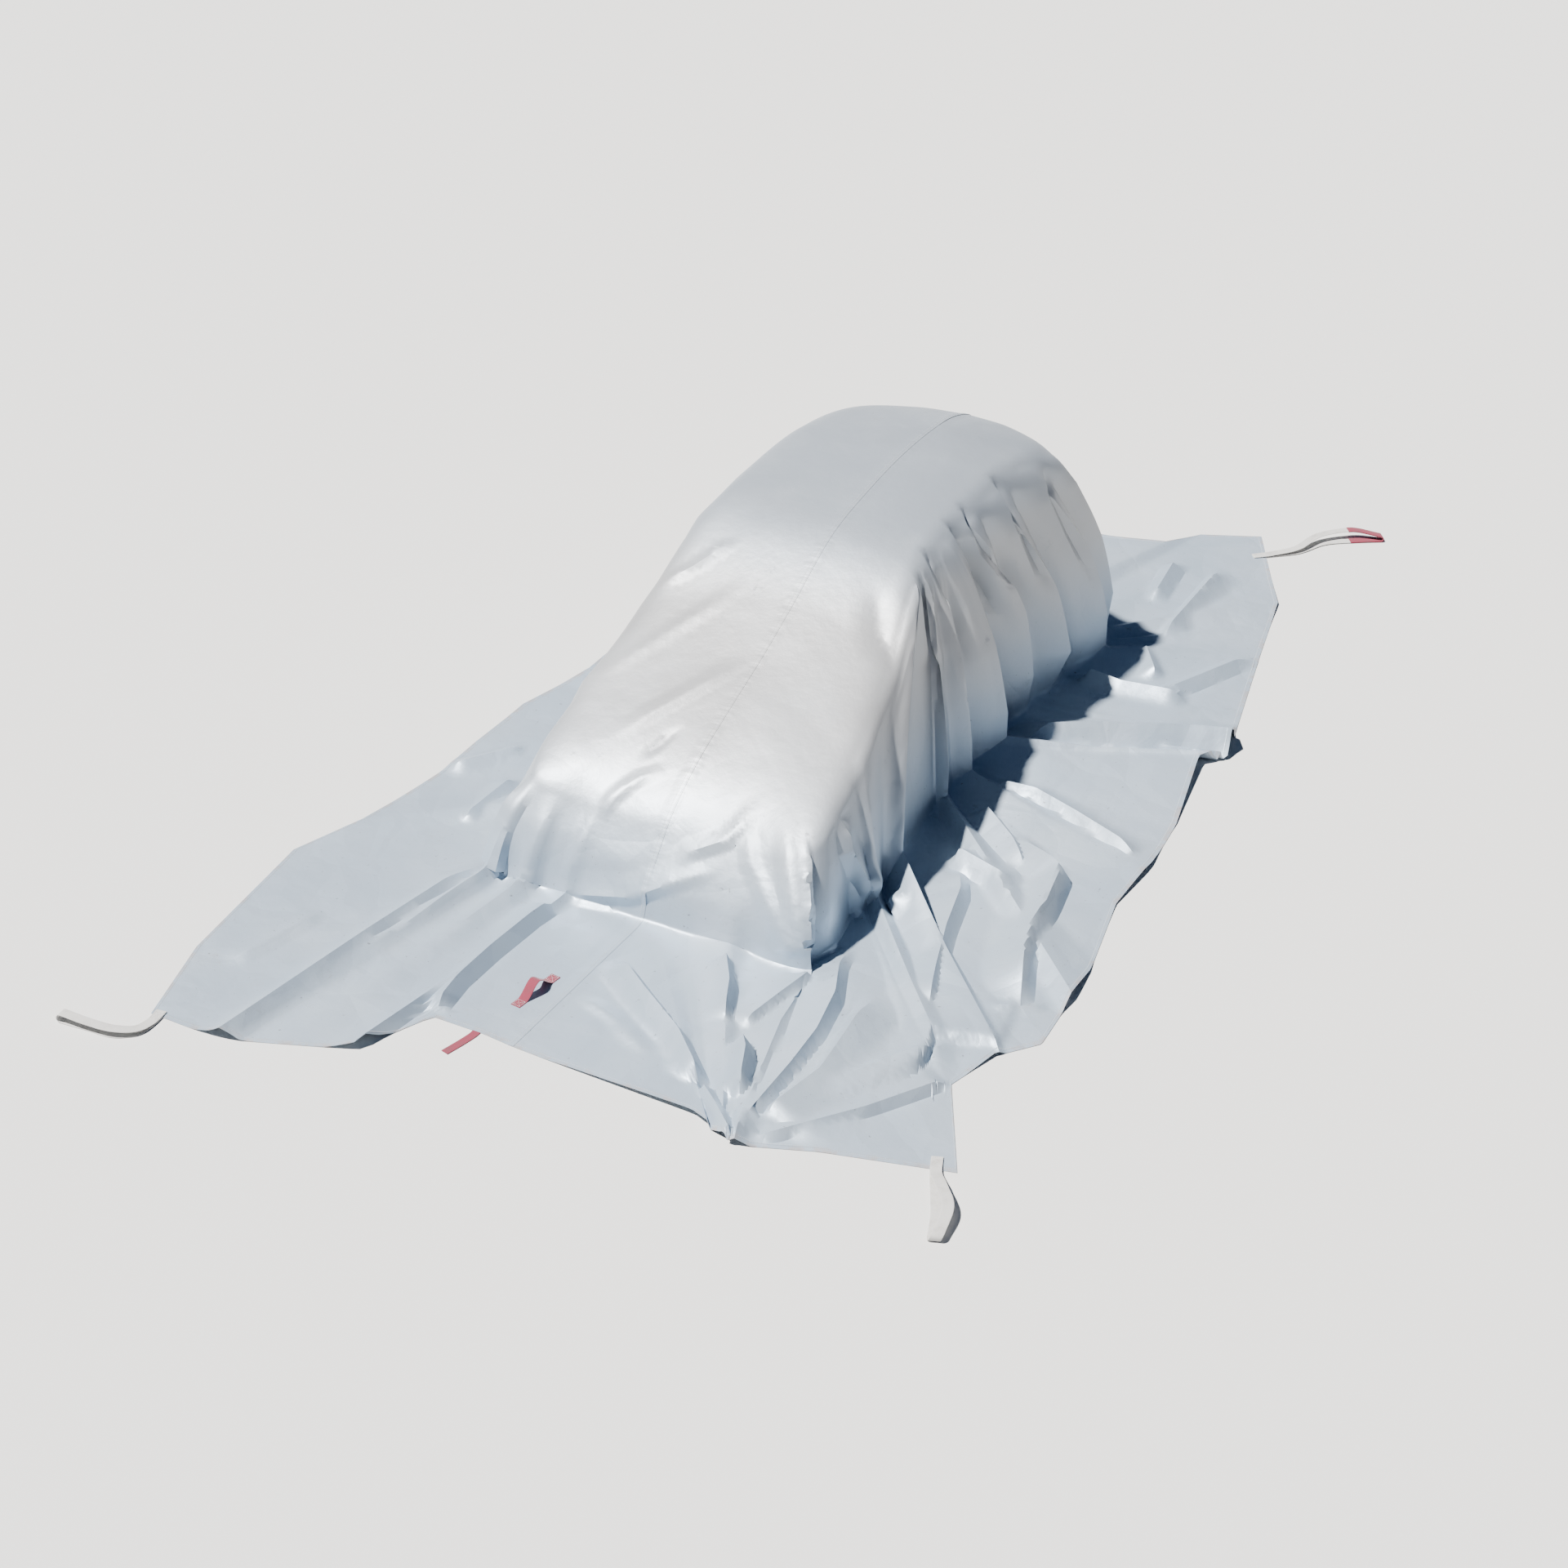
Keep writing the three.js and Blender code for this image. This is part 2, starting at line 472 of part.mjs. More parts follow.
function ring(wide, thick) {
  return [[-wide, -thick], [-wide, thick], [wide, thick], [wide, -thick]].map(([w, h]) => [w / 2, h / 2]);
}

// A band through its stops, or a sleeve when it is given a wall round the hollow of that size.
function band(stops, wide, thick, wall = 0) {
  const rings = [ring(wide + 2 * wall, thick + 2 * wall)];
  if (wall > 0) rings.push(ring(wide, thick));
  const points = [];
  for (const { p, across, out } of stops) {
    for (const [w, h] of rings.flat()) {
      const q = p.clone().addScaledVector(across, w).addScaledVector(out, h);
      points.push(q.x, q.y, q.z);
    }
  }
  const faces = [];
  const quad = (a, b, c, d) => faces.push(a, b, c, a, c, d);
  const corners = 4;
  const stride = corners * rings.length;
  const end = stride * (stops.length - 1);
  for (let e = 0; e < corners; e++) {
    const f = (e + 1) % corners;
    for (let k = 0; k < end; k += stride) quad(k + e, k + f, k + stride + f, k + stride + e);
    if (wall === 0) continue;
    const g = e + corners;
    const h = f + corners;
    for (let k = 0; k < end; k += stride) quad(k + h, k + g, k + stride + g, k + stride + h);
    quad(f, e, g, h);
    quad(end + e, end + f, end + h, end + g);
  }
  if (wall === 0) {
    quad(3, 2, 1, 0);
    quad(end, end + 1, end + 2, end + 3);
  }
  const geometry = new THREE.BufferGeometry();
  geometry.setAttribute('position', new THREE.Float32BufferAttribute(points, 3));
  geometry.setIndex(faces);
  geometry.computeVertexNormals();
  return geometry;
}

// The stops of a pull loop: out along the ground at a lift, round the tip and back above.
function pullLoop(table, lift) {
  const line = new THREE.CatmullRomCurve3(table.map((r) => new THREE.Vector3(r.x, r.y, 0)));
  const rise = new THREE.CatmullRomCurve3(table.map((r) => new THREE.Vector3(r.up, r.drift, 0)));
  const onCloth = SHEET + PIECE_GAP + BAND / 2;
  const onGround = lift + BAND / 2;
  const sewn = 1 / (table.length - 1);
  const legs = { lower: [], upper: [] };
  for (let k = 0; k <= LOOP_STEPS; k++) {
    const t = k / LOOP_STEPS;
    const run = line.getTangent(t);
    const across = new THREE.Vector3(-run.y, run.x, 0);
    const low = THREE.MathUtils.lerp(onCloth, onGround, THREE.MathUtils.smoothstep(t, sewn, 2 * sewn));
    const { x: up, y: drift } = rise.getPoint(t);
    const high = low + BAND + PIECE_GAP + Math.max(up, 0);
    legs.lower.push({ p: line.getPoint(t).setZ(low), across });
    legs.upper.unshift({ p: line.getPoint(t).addScaledVector(across, drift).setZ(high), across });
  }
  const { p: end, across } = legs.lower[LOOP_STEPS];
  const { p: back } = legs.upper[0];
  const forward = new THREE.Vector3(across.y, -across.x, 0);
  const radius = (back.z - end.z) / 2;
  const tip = [];
  for (let k = 1; k < TIP_STEPS; k++) {
    const angle = Math.PI * k / TIP_STEPS;
    const p = end.clone().lerp(back, k / TIP_STEPS).setZ(end.z + radius * (1 - Math.cos(angle)));
    tip.push({ p: p.addScaledVector(forward, radius * Math.sin(angle)), across });
  }
  return faced([...legs.lower, ...tip, ...legs.upper]);
}

// A strap with its loop, and the sleeve round the tip of one.
function strap(loop) {
  return band(loop, STRAP_WIDE, BAND);
}

function sleeve(loop) {
  const hollow = 2 * PIECE_GAP;
  return band(loop.slice(GRIP_STEP, -GRIP_STEP), STRAP_WIDE + hollow, BAND + hollow, SLEEVE_WALL);
}

// A single band laid on a surface at height z, such as the hand loop.
function laidBand(table, wide, z) {
  const line = new THREE.CatmullRomCurve3(table.map((r) => new THREE.Vector3(r.x, r.y, r.z)));
  const stops = [];
  for (let k = 0; k <= BAND_STEPS; k++) {
    const p = line.getPoint(k / BAND_STEPS);
    const run = line.getTangent(k / BAND_STEPS);
    const across = new THREE.Vector3(-run.y, run.x, 0).normalize();
    stops.push({ p: p.setZ(z + BAND / 2 + Math.max(p.z, 0)), across });
  }
  return band(faced(stops), wide, BAND);
}

const silver = new THREE.MeshStandardMaterial({ color: 0xb9c4cf, roughness: 0.5, metalness: 0.2 });
const white = new THREE.MeshStandardMaterial({ color: 0xd9d9d6, roughness: 0.85, metalness: 0 });
const red = new THREE.MeshStandardMaterial({ color: 0xb8405a, roughness: 0.85, metalness: 0 });

const loopBackRight = pullLoop(LOOP_BACK_RIGHT, GRIP_LIFT);
const loopBackLeft = pullLoop(LOOP_BACK_LEFT, GRIP_LIFT);
const blanket = new THREE.Group();
const pieces = [
  ['panel_right', panel(RIGHT), silver],
  ['panel_left', panel(LEFT), silver],
  ['strap_front_left', strap(pullLoop(LOOP_FRONT_LEFT, 0)), white],
  ['strap_front_right', strap(pullLoop(LOOP_FRONT_RIGHT, 0)), white],
  ['strap_back_right', strap(loopBackRight), white],
  ['strap_back_left', strap(loopBackLeft), white],
  ['grip_back_right', sleeve(loopBackRight), red],
  ['grip_back_left', sleeve(loopBackLeft), red],
  ['handle_front', laidBand(HANDLE, HANDLE_WIDE, SHEET + PIECE_GAP), red],
  ['tab_front', laidBand(TAIL, TAIL_WIDE, 0), red],
];
for (const [name, geometry, material] of pieces) {
  const mesh = new THREE.Mesh(geometry, material);
  mesh.name = name;
  blanket.add(mesh);
}

// The origin is the middle of the blanket's ground outline.
const box = new THREE.Box3().setFromObject(blanket);
blanket.position.set(-(box.min.x + box.max.x) / 2, -(box.min.y + box.max.y) / 2, -box.min.z);

export default blanket;
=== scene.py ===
import math
import bmesh
import bpy
import numpy as np
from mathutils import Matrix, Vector


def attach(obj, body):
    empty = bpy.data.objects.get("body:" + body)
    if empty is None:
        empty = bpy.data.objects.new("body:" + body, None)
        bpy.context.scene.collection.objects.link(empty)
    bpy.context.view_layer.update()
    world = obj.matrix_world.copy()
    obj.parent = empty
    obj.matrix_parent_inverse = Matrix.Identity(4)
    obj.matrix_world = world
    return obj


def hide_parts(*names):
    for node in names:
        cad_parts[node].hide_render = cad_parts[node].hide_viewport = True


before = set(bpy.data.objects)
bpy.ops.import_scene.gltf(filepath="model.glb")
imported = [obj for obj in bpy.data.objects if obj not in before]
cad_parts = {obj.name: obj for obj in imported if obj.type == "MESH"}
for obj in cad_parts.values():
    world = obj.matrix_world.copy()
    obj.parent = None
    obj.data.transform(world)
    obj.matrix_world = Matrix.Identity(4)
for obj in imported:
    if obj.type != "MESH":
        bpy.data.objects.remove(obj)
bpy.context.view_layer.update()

# Studio: a camera at the viewing angle, a pale floor, one key light from high on the left and a weak
# bluish surround that fills the shadows.
SENSOR, FOCAL_PIXELS, FRAME_PIXELS = 36, 3500, 1920
KEY_TRAVEL = Vector((0.45, 0.32, -1))
FLOOR_SIZE, FLOOR_DROP = 400, 0.002
bpy.ops.object.select_all(action="DESELECT")
camera_data = bpy.data.cameras.new("camera")
camera_data.sensor_width = SENSOR
camera_data.lens = SENSOR * FOCAL_PIXELS / FRAME_PIXELS
camera = bpy.data.objects.new("camera", camera_data)
camera.location = (6.6980, -13.1940, 8.7825)
camera.rotation_euler = (math.radians(58.743), 0, math.radians(28.579))
bpy.context.collection.objects.link(camera)
bpy.context.scene.camera = camera

key = bpy.data.lights.new("key", "SUN")
key.energy = 13.5
key.angle = math.radians(2.5)
key.color = (1.0, 0.97, 0.93)
key_object = bpy.data.objects.new("key", key)
key_object.rotation_euler = KEY_TRAVEL.to_track_quat("-Z", "Y").to_euler()
bpy.context.collection.objects.link(key_object)

surround = bpy.data.worlds.new("surround")
surround.use_nodes = True
sky = surround.node_tree.nodes["Background"]
sky.inputs["Color"].default_value = (0.25, 0.48, 1.0, 1)
sky.inputs["Strength"].default_value = 0.12
bpy.context.scene.world = surround

bpy.ops.mesh.primitive_plane_add(size=FLOOR_SIZE, location=(0, 0, -FLOOR_DROP))
floor = bpy.context.object
floor.name = "floor"
floor_paint = bpy.data.materials.new("floor_paint")
floor_paint.use_nodes = True
floor_shader = floor_paint.node_tree.nodes["Principled BSDF"]
floor_shader.inputs["Base Color"].default_value = (0.66, 0.66, 0.65, 1)
floor_shader.inputs["Roughness"].default_value = 0.9
floor.data.materials.append(floor_paint)

# Cloth: two widths of silver-coated glass cloth sewn along the middle, hemmed all round and
# pulled over a low-fronted shape, so that it hangs in pleats and spreads its skirt on the ground.
# Sizes in millimetres from the seam: x away from it on either side, y along it, z up.
SEAM_X = -0.2136
SEAM_Y = -0.0017
SHEET = 0.002
# Sections round the draped shape from the front centre to the back centre: the turn where the
# cloth starts to hang, on the right and on the left, and the foot where it meets the ground.
FORM = [
    # right, left, y, z, foot right, foot left, foot y
    (0, 0, -1830, 500, 0, 0, -2140),
    (480, 480, -1820, 510, 520, 520, -2136),
    (850, 850, -1790, 580, 985, 1000, -2090),
    (860, 930, -1250, 790, 1030, 1060, -1350),
    (750, 920, -600, 1030, 950, 1040, -750),
    (620, 900, 40, 1350, 880, 1000, 50),
    (620, 900, 640, 1440, 870, 980, 640),
    (620, 870, 1240, 1470, 900, 980, 1300),
    (640, 780, 1780, 1400, 950, 960, 2030),
    (340, 390, 1960, 1400, 500, 500, 2180),
    (0, 0, 2000, 1400, 0, 0, 2200),
]
TOP_LINE = [
    # y, z along the seam
    (-1380, 765), (-1280, 805), (-1080, 885), (-800, 995), (-440, 1160), (60, 1405),
    (560, 1505), (960, 1548), (1240, 1555), (1400, 1550), (1500, 1545),
]
HEM_RIGHT = [
    (0, -3440), (380, -3460), (1100, -3490), (1390, -3610), (1790, -3450), (2460, -3270),
    (2130, -2650), (2220, -2330), (2390, -2120), (2350, -1400), (2220, -740), (2240, -270),
    (2200, 200), (2060, 900), (2190, 1040), (1900, 2390), (1760, 3080), (1310, 3980),
    (930, 3810), (780, 3540), (0, 3450),
]
HEM_LEFT = [
    (0, -3440), (190, -3420), (500, -3420), (690, -3850), (1350, -4110), (1810, -4100),
    (1990, -3500), (2120, -2460), (1960, -2010), (1870, -1340), (1890, -420), (1760, 150),
    (1800, 1200), (1950, 2300), (1850, 3200), (1620, 4050), (850, 3750), (0, 3450),
]
# Folds that run from the top line down the wall and out to the hem. wall and foot count rows of
# FORM, hem rows of the hem list. hang, low, base, mid and rim are the rise at mid wall, low on it,
# at the foot, half way out and at the hem; before and after are the share of the gap that each
# flank takes; tuck is how far out a crosswise pleat stands and lip its height; pull draws the
# foot sideways.
PLAIN = dict(hang=0, low=None, base=0, mid=0, rim=0, before=0.5, after=0.5, tuck=0.7, lip=0,
             pull=(0, 0))
FOLDS_RIGHT = [
    dict(wall=0, foot=0, hem=0),
    dict(wall=0.3, foot=0.15, hem=2.4, mid=20, rim=45, before=0.8, after=0.25),
    dict(wall=1.1, foot=1.05, hem=2.8, hang=10, base=40, mid=40, rim=50, after=0.3, tuck=0.8),
    dict(wall=2, foot=2, hem=3.05, hang=30, low=40, base=20, mid=40, rim=45, before=0.8, after=0.1,
         tuck=0.95, lip=40, pull=(75, -45)),
    dict(wall=2.55, foot=2.65, hem=5, hang=-40, low=-90, base=-100, before=0.5, after=0.45,
         tuck=0.6, lip=60),
    dict(wall=3.1, foot=3, hem=6, hang=70, low=120, base=80, mid=30, before=0.4, after=0.3,
         tuck=0.75, lip=60),
    dict(wall=4.9, foot=3.6, hem=7.1, hang=110, low=180, base=210, mid=70, rim=20, before=0.75,
         after=0.1, tuck=0.95, lip=30),
    dict(wall=5.02, foot=4.65, hem=8.6, hang=100, low=150, base=90, mid=85, rim=50, before=0.14, after=0.25),
    dict(wall=5.22, foot=5.05, hem=10.8, hang=90, low=110, base=90, mid=45, rim=30, before=0.5, after=0.25),
    dict(wall=5.5, foot=5.55, hem=13.4, hang=150, low=180, base=150, mid=80, rim=80, before=0.6, after=0.8),
    dict(wall=5.78, foot=6.15, hem=13.75, hang=-70, low=-70, base=-30, mid=40, rim=60, before=0.3, after=0.3),
    dict(wall=5.97, foot=6.45, hem=14.05, hang=130, low=110, base=20, mid=20, rim=30, before=0.9, after=0.9),
    dict(wall=6.17, foot=6.7, hem=14.15, hang=-50, low=20, base=10, mid=10, before=0.3, after=0.3),
    dict(wall=6.5, foot=6.95, hem=14.3, hang=170, low=190, base=20, mid=10, before=0.9, after=0.9),
    dict(wall=6.85, foot=7.3, hem=14.55, hang=-70, low=-80, base=-20, before=0.3, after=0.3),
    dict(wall=7.25, foot=7.65, hem=15, hang=130, low=140, base=80, mid=25, before=0.9, after=0.9),
    dict(wall=7.6, foot=7.95, hem=15.5, hang=-50, low=-20, base=30, mid=30, before=0.3, after=0.3),
    dict(wall=7.9, foot=8.2, hem=16, hang=130, low=150, base=60, mid=45, rim=15, before=0.9, after=0.35),
    dict(wall=8.7, foot=8.6, hem=17, hang=40, base=40),
    dict(wall=9.3, foot=9.3, hem=19, hang=30, base=50, mid=50, rim=30),
    dict(wall=10, foot=10, hem=20),
]
FOLDS_LEFT = [
    dict(wall=0, foot=0, hem=0, after=0.4),
    dict(wall=0.9, foot=0.92, hem=2.85, hang=5, low=15, base=40, mid=40, rim=70, before=0.1, after=0.6),
    dict(wall=1.5, foot=1.45, hem=3.5, hang=5, low=25, base=60, mid=15, before=0.4, after=0.4),
    dict(wall=1.95, foot=1.9, hem=4, hang=15, low=50, base=80, mid=35, rim=50, before=0.35, after=0.4),
    dict(wall=2.5, foot=2.5, hem=5, hang=20, base=20),
    dict(wall=3.2, foot=3.1, hem=8, hang=60, low=90, base=60, mid=25, rim=10, before=0.4, after=0.3),
    dict(wall=4.1, foot=4.3, hem=9.4, hang=50, low=80, base=40, mid=25, rim=10, before=0.5, after=0.25),
    dict(wall=5.1, foot=5.2, hem=11, hang=90, low=120, base=50, mid=35, rim=15, before=0.3, after=0.5),
    dict(wall=5.8, foot=6.1, hem=12.3, hang=70, low=110, base=90, mid=30, rim=15, before=0.4, after=0.3),
    dict(wall=7, foot=7.1, hem=13.6, hang=100, low=120, base=50, mid=30, rim=20, before=0.5, after=0.3),
    dict(wall=7.9, foot=8, hem=15, hang=60, low=90, base=60, before=0.4),
    dict(wall=8.9, foot=8.9, hem=16.2, hang=40, low=60, base=50, mid=45, rim=30),
    dict(wall=10, foot=10, hem=17),
]
# Rings across the cloth count 0 at the top line, 1 at the turn, 2 at the waist half way down the
# wall, 3 at the foot and 4 at the hem. ROUNDING is how far each of these bends is eased. The
# pitches are how far apart the spokes may stand at the hem, the foot and the turn. A fold's rises
# are given at FOLD_RINGS, with HIGH_HANG of hang at the second; a low that isn't given lies between
# hang and base. A pull and a lip fade over the shares below, and the two widths meet at the seam.
WAIST_OUT, WAIST_UP = 0.7, 0.5
ROUNDING = np.array([0, 0.2, 0.4, 0.1, 0])
HEM_PITCH, FOOT_PITCH, TURN_PITCH = 46, 29, 40
FEWEST_SPOKES = 6
FOOT_RING, SKIRT_RING, HEM_RING = 3, 3.02, 4
RINGS = np.concatenate([np.linspace(0, 1, 22)[:-1], np.linspace(1, 3, 56)[:-1], np.linspace(3, 4, 60)])
FOLD_RINGS, HIGH_HANG = [1, 1.4, 2, 2.6, 3, 3.5, 4], 0.6
LOW_OF_HANG, LOW_OF_BASE = 0.4, 0.6
PULL_RINGS, PULL_SHARES = [1, 3, 3.35], [0, 1, 0]
LIP_EDGE = 0.05
FLAT_FLANK, ROUND_FLANK = 0.7, 0.15
HALF_GAP = 0.3


def spline(points, row):
    """Points of a smooth line through the rows of a table, at the given row numbers."""
    p = np.asarray(points, float)
    p = np.vstack([2 * p[0] - p[1], p, 2 * p[-1] - p[-2]])
    k = np.clip(np.floor(row).astype(int), 0, len(p) - 4)
    w = (row - k)[:, None]
    a, b, c, d = p[k], p[k + 1], p[k + 2], p[k + 3]
    ab, bc, cd = (np.sqrt(np.linalg.norm(q - r, axis=1))[:, None] for q, r in ((b, a), (c, b), (d, c)))
    touching = 1e-4
    bc = np.where(bc < touching, 1, bc)
    ab, cd = np.where(ab < touching, bc, ab), np.where(cd < touching, bc, cd)
    leave = ((b - a) / ab - (c - a) / (ab + bc) + (c - b) / bc) * bc
    reach = ((c - b) / bc - (d - b) / (bc + cd) + (d - c) / cd) * bc
    square, cube = 3 * (c - b) - 2 * leave - reach, 2 * (b - c) + leave + reach
    return b + w * leave + w**2 * square + w**3 * cube


def smooth(t):
    """An even step from 0 to 1 with soft ends."""
    t = np.clip(t, 0, 1)
    return t * t * (3 - 2 * t)


def flank(u):
    """The side of a fold, 1 on its crest and 0 at its foot, mostly straight and a little rounded."""
    u = np.clip(u, 0, 1)
    return FLAT_FLANK * (1 - u) + ROUND_FLANK * (1 + np.cos(np.pi * u))


def drape(side, turn, foot, hem, folds):
    """One panel's underside, a row of points for each spoke from the top line to the hem."""
    folds = [{**PLAIN, **fold} for fold in folds]
    for fold in folds:
        if fold["low"] is None:
            fold["low"] = LOW_OF_HANG * fold["hang"] + LOW_OF_BASE * fold["base"]

    def hem_at(row):
        return np.stack([np.interp(row, range(len(hem)), [h[i] for h in hem]) for i in (0, 1)], axis=-1)

    gap, share = [], []
    for k in range(len(folds) - 1):
        ends = [hem_at(f["hem"]) for f in folds[k:k + 2]]
        toes = spline(foot, np.array([f["foot"] for f in folds[k:k + 2]], float))
        turns = spline(turn, np.array([f["wall"] for f in folds[k:k + 2]], float))
        apart = [np.linalg.norm(pair[1] - pair[0]) for pair in (ends, toes, turns)]
        count = int(max(FEWEST_SPOKES, *np.divide(apart, (HEM_PITCH, FOOT_PITCH, TURN_PITCH))))
        gap += [k] * count
        share += list(np.arange(count) / count)
    gap = np.array(gap + [len(folds) - 2])
    share = np.array(share + [1.0])

    def across(key):
        v = np.array([f[key] for f in folds], float)
        return v[gap] * (1 - share) + v[gap + 1] * share

    top_line, row, bit = [(0, y, z) for y, z in TOP_LINE], across("wall"), 0.01
    top = spline(top_line, row)
    ahead = spline(top_line, np.minimum(row + bit, len(TOP_LINE) - 1))
    behind = spline(top_line, np.maximum(row - bit, 0))
    top_slope = (ahead - behind)[:, 2] / (ahead - behind)[:, 1]
    shoulder = spline(turn, across("wall"))
    toe = spline(foot, across("foot"))
    edge = np.c_[hem_at(across("hem")), np.zeros(len(gap))]
    waist = shoulder + (toe - shoulder) * WAIST_OUT
    waist[:, 2] = shoulder[:, 2] * WAIST_UP
    stops = np.stack([top, shoulder, waist, toe, edge], axis=1)

    def straight(leg):
        k = np.minimum(np.floor(leg).astype(int), 3)
        w = (leg - k)[..., None]
        i = np.arange(len(gap))[:, None]
        p = stops[i, k] * (1 - w) + stops[i, k + 1] * w
        fall = stops[:, 1, 2] - stops[:, 0, 2]
        start = top_slope * (stops[:, 1, 1] - stops[:, 0, 1])
        crown = stops[:, 0, 2:3] + start[:, None] * leg + (fall - start)[:, None] * leg**2
        p[..., 2] = np.where(k == 0, crown, p[..., 2])
        return p

    def curve(leg):
        k = np.round(leg).astype(int)
        w = ROUNDING[k]
        t = ((leg - k + w) / np.maximum(2 * w, 1e-9))[..., None]
        i = np.arange(len(gap))[:, None]
        bend = (1 - t) ** 2 * straight(k - w) + 2 * t * (1 - t) * stops[i, k] + t**2 * straight(k + w)
        return np.where((np.abs(leg - k) < w)[..., None], bend, straight(leg))

    leg = np.tile(RINGS, (len(gap), 1))
    p = curve(leg)
    step = 0.02
    along = curve(np.minimum(leg + step, HEM_RING)) - curve(np.maximum(leg - step, 0))
    out = stops[:, 4] - stops[:, 1]
    out[:, 2] = 0
    out /= np.linalg.norm(out, axis=1)[:, None]
    run = (along * out[:, None, :]).sum(2)
    size = np.hypot(run, along[..., 2])
    rise = np.zeros(leg.shape)
    heights = np.array([[f[key] for key in ("hang", "low", "base", "mid", "rim")] for f in folds])
    for which, u in ((gap, share), (gap + 1, 1 - share)):
        wide = np.array([f["after"] if which is gap else f["before"] for f in folds])[which]
        height = np.stack([np.interp(RINGS, FOLD_RINGS, [0, HIGH_HANG * levels[0], *levels])
                           for levels in heights[which]])
        rise += height * flank(u / wide)[:, None]
        drawn = np.array([f["pull"] for f in folds], float)[which] * (1 - u / wide).clip(0)[:, None]
        p[..., :2] += drawn[:, None, :] * np.interp(RINGS, PULL_RINGS, PULL_SHARES)[None, :, None]
    tuck = across("tuck")[:, None]
    lip = across("lip")[:, None] * ((leg - FOOT_RING) / tuck) ** 2
    lip *= 1 - smooth((leg - FOOT_RING - tuck) / LIP_EDGE)
    rise += np.where(leg > FOOT_RING, lip, 0)
    p -= out[:, None, :] * (along[..., 2] / size * rise)[..., None]
    p[..., 2] = np.maximum(0, p[..., 2] + run / size * rise)
    p[..., 0] = side * (p[..., 0] + HALF_GAP)
    return p / 1000


right_turn = [(f[0], f[2], f[3]) for f in FORM]
right_foot = [(f[4], f[6], 0) for f in FORM]
left_turn = [(f[1], f[2], f[3]) for f in FORM]
left_foot = [(f[5], f[6], 0) for f in FORM]
right_grid = drape(1, right_turn, right_foot, HEM_RIGHT, FOLDS_RIGHT)
left_grid = drape(-1, left_turn, left_foot, HEM_LEFT, FOLDS_LEFT)


# Ridges in the skirt, walked along line (x, y) over the ground: rise is the height of the crest, left
# and right the widths of its two flanks, start and end the shares of its length that run out.
RIDGES = [
    # front skirt, all drawn towards the pinch in the front hem
    dict(rise=120, left=70, right=120, start=0.2, end=0.1,
         line=[(50, -2530), (420, -2800), (760, -3030), (1050, -3310)]),
    dict(rise=85, left=80, right=60, start=0.1, end=0.1, line=[(1050, -3310), (1200, -3430), (1390, -3600)]),
    dict(rise=105, left=50, right=150, start=0.15, end=0.3, line=[(580, -2230), (760, -2500), (910, -2830)]),
    dict(rise=60, left=60, right=220, start=0.05, line=[(1070, -2170), (1020, -2460), (970, -2780)]),
    dict(rise=160, left=80, right=180, start=0.3, line=[(1010, -2840), (1160, -3040), (1280, -3320)]),
    dict(rise=85, left=50, right=280, start=0.25, end=0.1,
         line=[(1110, -1760), (1170, -2030), (1290, -2310), (1360, -2650), (1380, -2970), (1390, -3560)]),
    dict(rise=95, left=420, right=80, start=0.3, end=0.1,
         line=[(1450, -2100), (1510, -2620), (1540, -2950), (1450, -3420)]),
    dict(rise=50, left=330, right=40, end=0.1,
         line=[(1400, -3580), (1570, -3440), (1860, -3070), (2130, -2640)]),
    # right skirt
    dict(rise=85, left=60, right=240, start=0.15,
         line=[(1290, -820), (1440, -1100), (1530, -1470), (1650, -1850), (1790, -2250)]),
    dict(rise=135, left=75, right=280, start=0.35,
         line=[(1350, -280), (1640, -520), (1860, -700), (1910, -960), (1960, -1300), (2030, -1560),
               (2190, -1960)]),
    dict(rise=75, left=55, right=170, start=0.1, end=0.4, line=[(1150, -200), (1470, -480), (1740, -800)]),
    dict(rise=95, left=260, right=90, start=0.1, end=0.4, line=[(1220, -740), (1560, -860), (1780, -940)]),
    dict(rise=150, left=330, right=120, start=0.2, end=0,
         line=[(1000, 520), (1180, 700), (1460, 860), (1880, 1060), (2180, 1160)]),
    dict(rise=85, left=170, right=80, start=0.1, line=[(1080, 40), (1370, 60), (1680, -60), (2220, -300)]),
    dict(rise=80, left=90, right=160, start=0.1, line=[(1020, 1560), (1300, 1500), (1750, 1560)]),
    dict(rise=70, left=80, right=150, line=[(1220, 2080), (1450, 1720)]),
    dict(rise=60, left=120, right=80, line=[(1480, 1370), (1700, 1850), (1900, 2300)]),
    dict(rise=60, left=90, right=90, line=[(1030, 2680), (950, 3320)]),
    dict(rise=80, left=80, right=170, line=[(1290, 2180), (1280, 3360)]),
    # left skirt
    dict(rise=80, left=90, right=180, end=0, line=[(-1060, -2000), (-1210, -3010), (-1345, -4120)]),
    dict(rise=25, left=90, right=140, line=[(-1590, -2900), (-1740, -3560)]),
    dict(rise=50, left=110, right=110, line=[(-1540, -870), (-1850, -1330)]),
    dict(rise=55, left=80, right=130, line=[(-1420, -1200), (-1430, -1790)]),
    dict(rise=75, left=60, right=170, start=0.1, end=0.1,
         line=[(-490, -2230), (-520, -2450), (-540, -2810), (-540, -3120), (-500, -3400)]),
]
